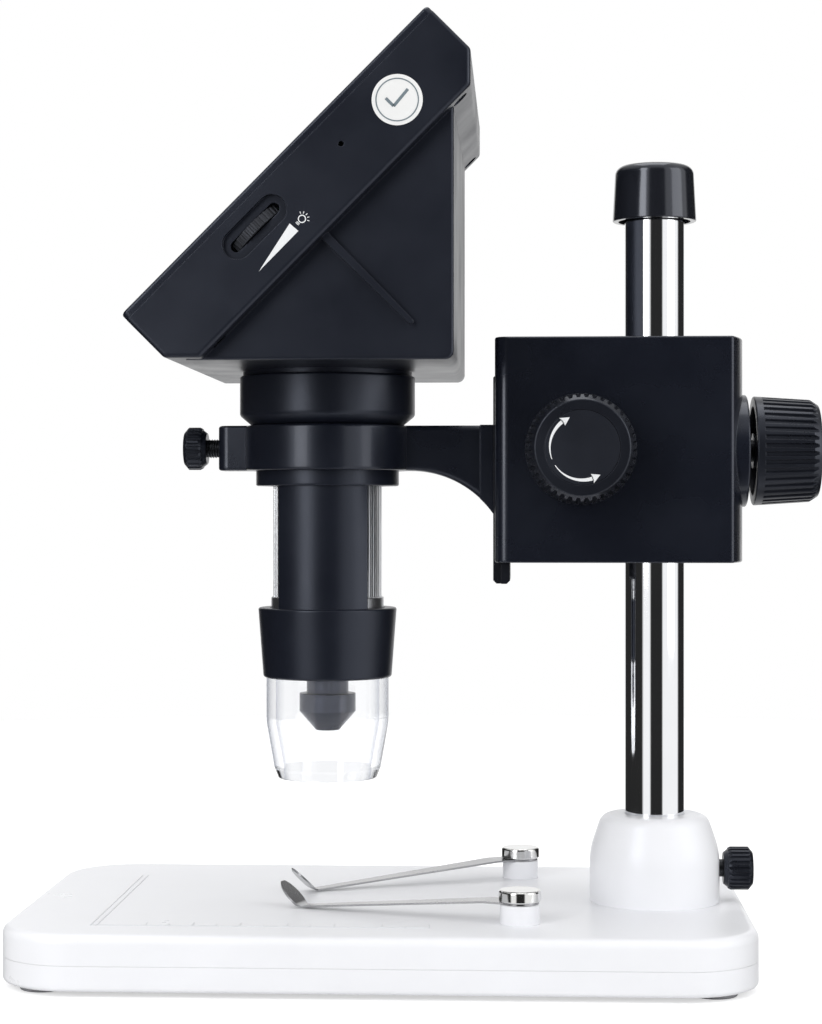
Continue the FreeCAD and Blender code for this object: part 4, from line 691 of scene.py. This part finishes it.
# Barrel, lens and hood
class MICROSCOPE_OT_barrel(bpy.types.Operator):
    """Finishes the barrel, the focus ring and the lens"""
    bl_idname = "microscope.barrel"
    bl_label = "Barrel and lens"

    def execute(self, context):
        look = context.scene.microscope_finish
        satin = finish(
            "barrel paint", look.metal_colour, 0.33, spread=0.05, grain=2000.0, depth=0.000010,
            variation=0.1, edge=0.0003)
        silver = finish(
            "ring metal", look.ring_colour, 0.30, spread=0.07, grain=2200.0, depth=0.000006,
            variation=0.05, metallic=1.0, edge=0.0002, stretch=(1.0, 1.0, 6.0))
        tube = finish(
            "lens tube", (0.040, 0.045, 0.065), 0.28, spread=0.05, grain=1500.0, depth=0.0000015,
            variation=0.06, metallic=0.7, edge=0.0002, stretch=(1.0, 1.0, 6.0))
        optics = clear_finish("lens glass", (0.86, 0.90, 0.98), (0.35, 0.30, 0.55), 0.01, 1.52)
        diode = finish(
            "lamp lens", (0.85, 0.78, 0.45), 0.18, spread=0.05, grain=900.0, depth=0.000004,
            variation=0.04, coat=0.6, edge=0.0001)
        dress(satin, "barrel")
        dress(silver, "focus_ring")
        dress(tube, "lens_tube")
        dress(optics, "lens_stack")
        dress(diode, "lamps")
        return {"FINISHED"}


class MICROSCOPE_OT_hood(bpy.types.Operator):
    """Makes the clear hood see-through"""
    bl_idname = "microscope.hood"
    bl_label = "Clear hood"

    def execute(self, context):
        clear = clear_finish("clear plastic", (0.985, 0.99, 1.0), (0.22, 0.25, 0.34), 0.01, 1.47)
        dress(clear, "clear_hood")
        return {"FINISHED"}


class MICROSCOPE_OT_clips(bpy.types.Operator):
    """Finishes the spring clips and the caps that hold them"""
    bl_idname = "microscope.clips"
    bl_label = "Stage clips"

    def execute(self, context):
        spring = finish(
            "spring steel", (0.42, 0.42, 0.43), 0.24, spread=0.08, grain=2600.0, depth=0.000004,
            variation=0.06, metallic=1.0, edge=0.0001, stretch=(0.2, 1.0, 1.0))
        dress(spring, "stage_clip_near", "stage_clip_far")
        dress(bpy.data.materials["chrome"], "clip_bolts")
        return {"FINISHED"}


# Stage
# Walls of the room as metal mirrors them, by share of a turn: lit or not
ROOM_BANDS = (
    (0.045, False), (0.060, True), (0.125, True), (0.145, False), (0.420, False), (0.440, True),
    (0.560, True), (0.580, False), (0.715, False), (0.735, True), (0.915, True), (0.930, False),
)
CEILING_SPAN = (0.45, 0.80)
CEILING_LEVEL = 0.8
LAMP_TARGET = Vector((0.0, 0.0, 0.12))
CAMERA_PLACE = (0.0281, -0.636, 0.123)
CAMERA_TURN = 2.85
SENSOR_SIZE = 36.0


class MICROSCOPE_OT_stage(bpy.types.Operator):
    """Builds the white floor, the soft lights and the camera"""
    bl_idname = "microscope.stage"
    bl_label = "Stage"

    def seen(self, tree, path):
        """One for rays that look straight or through clear pieces at the surroundings."""
        either = add(tree, "ShaderNodeMath", operation="MAXIMUM")
        tree.links.new(path.outputs["Is Camera Ray"], either.inputs[0])
        tree.links.new(path.outputs["Is Transmission Ray"], either.inputs[1])
        return either.outputs["Value"]

    def floor(self, stage):
        bm = bmesh.new()
        bmesh.ops.create_circle(bm, cap_ends=True, segments=96, radius=stage.floor_radius)
        mesh = bpy.data.meshes.new("floor")
        bm.to_mesh(mesh)
        bm.free()
        floor = bpy.data.objects.new("floor", mesh)
        bpy.context.scene.collection.objects.link(floor)
        floor.visible_glossy = False
        material, tree, shader = start_material("floor paper")
        grain = noise(tree, object_coordinates(tree), 40.0)
        tint = shade(tree, grain, scaled(stage.floor_colour, 0.99), tuple(stage.floor_colour))
        tree.links.new(tint, shader.inputs["Base Color"])
        shader.inputs["Roughness"].default_value = 0.9
        shader.inputs["Specular IOR Level"].default_value = 0.1
        glow = add(tree, "ShaderNodeEmission")
        level = add(tree, "ShaderNodeMath", operation="MULTIPLY")
        level.inputs[1].default_value = stage.floor_glow
        seen = self.seen(tree, add(tree, "ShaderNodeLightPath"))
        tree.links.new(seen, level.inputs[0])
        tree.links.new(level.outputs["Value"], glow.inputs["Strength"])
        both = add(tree, "ShaderNodeAddShader")
        output = tree.nodes["Material Output"]
        tree.links.new(shader.outputs["BSDF"], both.inputs[0])
        tree.links.new(glow.outputs["Emission"], both.inputs[1])
        tree.links.new(both.outputs["Shader"], output.inputs["Surface"])
        mesh.materials.append(material)

    def world(self, stage):
        world = bpy.data.worlds.new("studio")
        world.use_nodes = True
        bpy.context.scene.world = world
        tree = world.node_tree
        background = tree.nodes["Background"]
        coordinates = add(tree, "ShaderNodeTexCoord")
        axes = add(tree, "ShaderNodeSeparateXYZ")
        tree.links.new(coordinates.outputs["Generated"], axes.inputs["Vector"])
        bearing = add(tree, "ShaderNodeMath", operation="ARCTAN2")
        tree.links.new(axes.outputs["X"], bearing.inputs[0])
        tree.links.new(axes.outputs["Y"], bearing.inputs[1])
        turn = span(tree, bearing.outputs["Value"], 0.0, 1.0, source=(-math.pi, math.pi))
        walls = add(tree, "ShaderNodeValToRGB")
        stops = walls.color_ramp.elements
        while len(stops) < len(ROOM_BANDS):
            stops.new(0.5)
        for stop, (place, bright) in zip(stops, ROOM_BANDS):
            stop.position = place
            level = 1.0 if bright else stage.wall_shade
            stop.color = (level, level, level, 1)
        tree.links.new(turn, walls.inputs["Fac"])
        height = span(tree, axes.outputs["Z"], 0.0, 1.0, source=CEILING_SPAN)
        ceiling = add(tree, "ShaderNodeMix", data_type="FLOAT")
        ceiling.inputs["B"].default_value = CEILING_LEVEL
        tree.links.new(height, ceiling.inputs["Factor"])
        tree.links.new(walls.outputs["Color"], ceiling.inputs["A"])
        path = add(tree, "ShaderNodeLightPath")
        reflected = add(tree, "ShaderNodeMix", data_type="FLOAT")
        reflected.inputs["A"].default_value = stage.room_strength
        tree.links.new(path.outputs["Is Glossy Ray"], reflected.inputs["Factor"])
        tree.links.new(ceiling.outputs["Result"], reflected.inputs["B"])
        strength = add(tree, "ShaderNodeMix", data_type="FLOAT")
        strength.inputs["B"].default_value = 1.0
        tree.links.new(self.seen(tree, path), strength.inputs["Factor"])
        tree.links.new(reflected.outputs["Result"], strength.inputs["A"])
        tree.links.new(strength.outputs["Result"], background.inputs["Strength"])
        background.inputs["Color"].default_value = (1, 1, 1, 1)

    def softbox(self, name, place, size, power):
        lamp = bpy.data.lights.new(name, "AREA")
        lamp.shape = "RECTANGLE"
        lamp.size, lamp.size_y = size
        lamp.energy = power
        box = bpy.data.objects.new(name, lamp)
        bpy.context.scene.collection.objects.link(box)
        box.location = place
        aim = LAMP_TARGET - Vector(place)
        box.rotation_mode = "QUATERNION"
        box.rotation_quaternion = aim.to_track_quat("-Z", "Y")

    def execute(self, context):
        stage = context.scene.microscope_stage
        self.floor(stage)
        self.world(stage)
        self.softbox("softbox_left", (-0.56, -0.86, 0.50), (0.35, 0.90), stage.key_power)
        self.softbox("softbox_right", (0.98, -0.44, 0.45), (0.60, 0.90), stage.fill_power)
        self.softbox("softbox_top", (0.0, 0.15, 1.25), (0.80, 0.80), stage.top_power)
        lens = bpy.data.cameras.new("camera")
        lens.sensor_fit = "VERTICAL"
        lens.sensor_width = SENSOR_SIZE
        lens.sensor_height = SENSOR_SIZE
        lens.lens = stage.focal_length
        lens.clip_start = 0.01
        lens.clip_end = 30.0
        camera = bpy.data.objects.new("camera", lens)
        bpy.context.scene.collection.objects.link(camera)
        camera.location = CAMERA_PLACE
        camera.rotation_euler = (math.radians(90), 0.0, math.radians(CAMERA_TURN))
        context.scene.camera = camera
        context.scene.view_settings.view_transform = "Standard"
        return {"FINISHED"}


# Panel and registration
OPERATORS = (
    MICROSCOPE_OT_base, MICROSCOPE_OT_column, MICROSCOPE_OT_carriage, MICROSCOPE_OT_focus_knobs,
    MICROSCOPE_OT_arm, MICROSCOPE_OT_head, MICROSCOPE_OT_head_marks, MICROSCOPE_OT_electronics,
    MICROSCOPE_OT_barrel, MICROSCOPE_OT_hood, MICROSCOPE_OT_clips, MICROSCOPE_OT_ruler,
    MICROSCOPE_OT_stage,
)


class MICROSCOPE_PT_panel(bpy.types.Panel):
    """Lists the microscope's pieces in the order they are made"""
    bl_idname = "MICROSCOPE_PT_panel"
    bl_label = "Desk Microscope"
    bl_space_type = "VIEW_3D"
    bl_region_type = "UI"
    bl_category = "Microscope"

    def draw(self, context):
        layout = self.layout
        scene = context.scene
        for group in (scene.microscope_finish, scene.microscope_sizes, scene.microscope_stage):
            box = layout.box()
            for key in group.bl_rna.properties.keys():
                if key not in ("rna_type", "name"):
                    box.prop(group, key)
        for operator in OPERATORS:
            layout.operator(operator.bl_idname)


CLASSES = (MicroscopeFinish, MicroscopeSizes, MicroscopeStage, *OPERATORS, MICROSCOPE_PT_panel)


def register():
    for cls in CLASSES:
        bpy.utils.register_class(cls)
    bpy.types.Scene.microscope_finish = bpy.props.PointerProperty(type=MicroscopeFinish)
    bpy.types.Scene.microscope_sizes = bpy.props.PointerProperty(type=MicroscopeSizes)
    bpy.types.Scene.microscope_stage = bpy.props.PointerProperty(type=MicroscopeStage)


def unregister():
    del bpy.types.Scene.microscope_stage
    del bpy.types.Scene.microscope_sizes
    del bpy.types.Scene.microscope_finish
    for cls in reversed(CLASSES):
        bpy.utils.unregister_class(cls)


def main():
    register()
    bpy.ops.microscope.base()
    bpy.ops.microscope.column()
    bpy.ops.microscope.carriage()
    bpy.ops.microscope.focus_knobs()
    bpy.ops.microscope.arm()
    bpy.ops.microscope.head()
    bpy.ops.microscope.head_marks()
    bpy.ops.microscope.electronics()
    bpy.ops.microscope.barrel()
    bpy.ops.microscope.hood()
    bpy.ops.microscope.clips()
    bpy.ops.microscope.ruler()
    bpy.ops.microscope.stage()


if __name__ == "__main__":
    main()
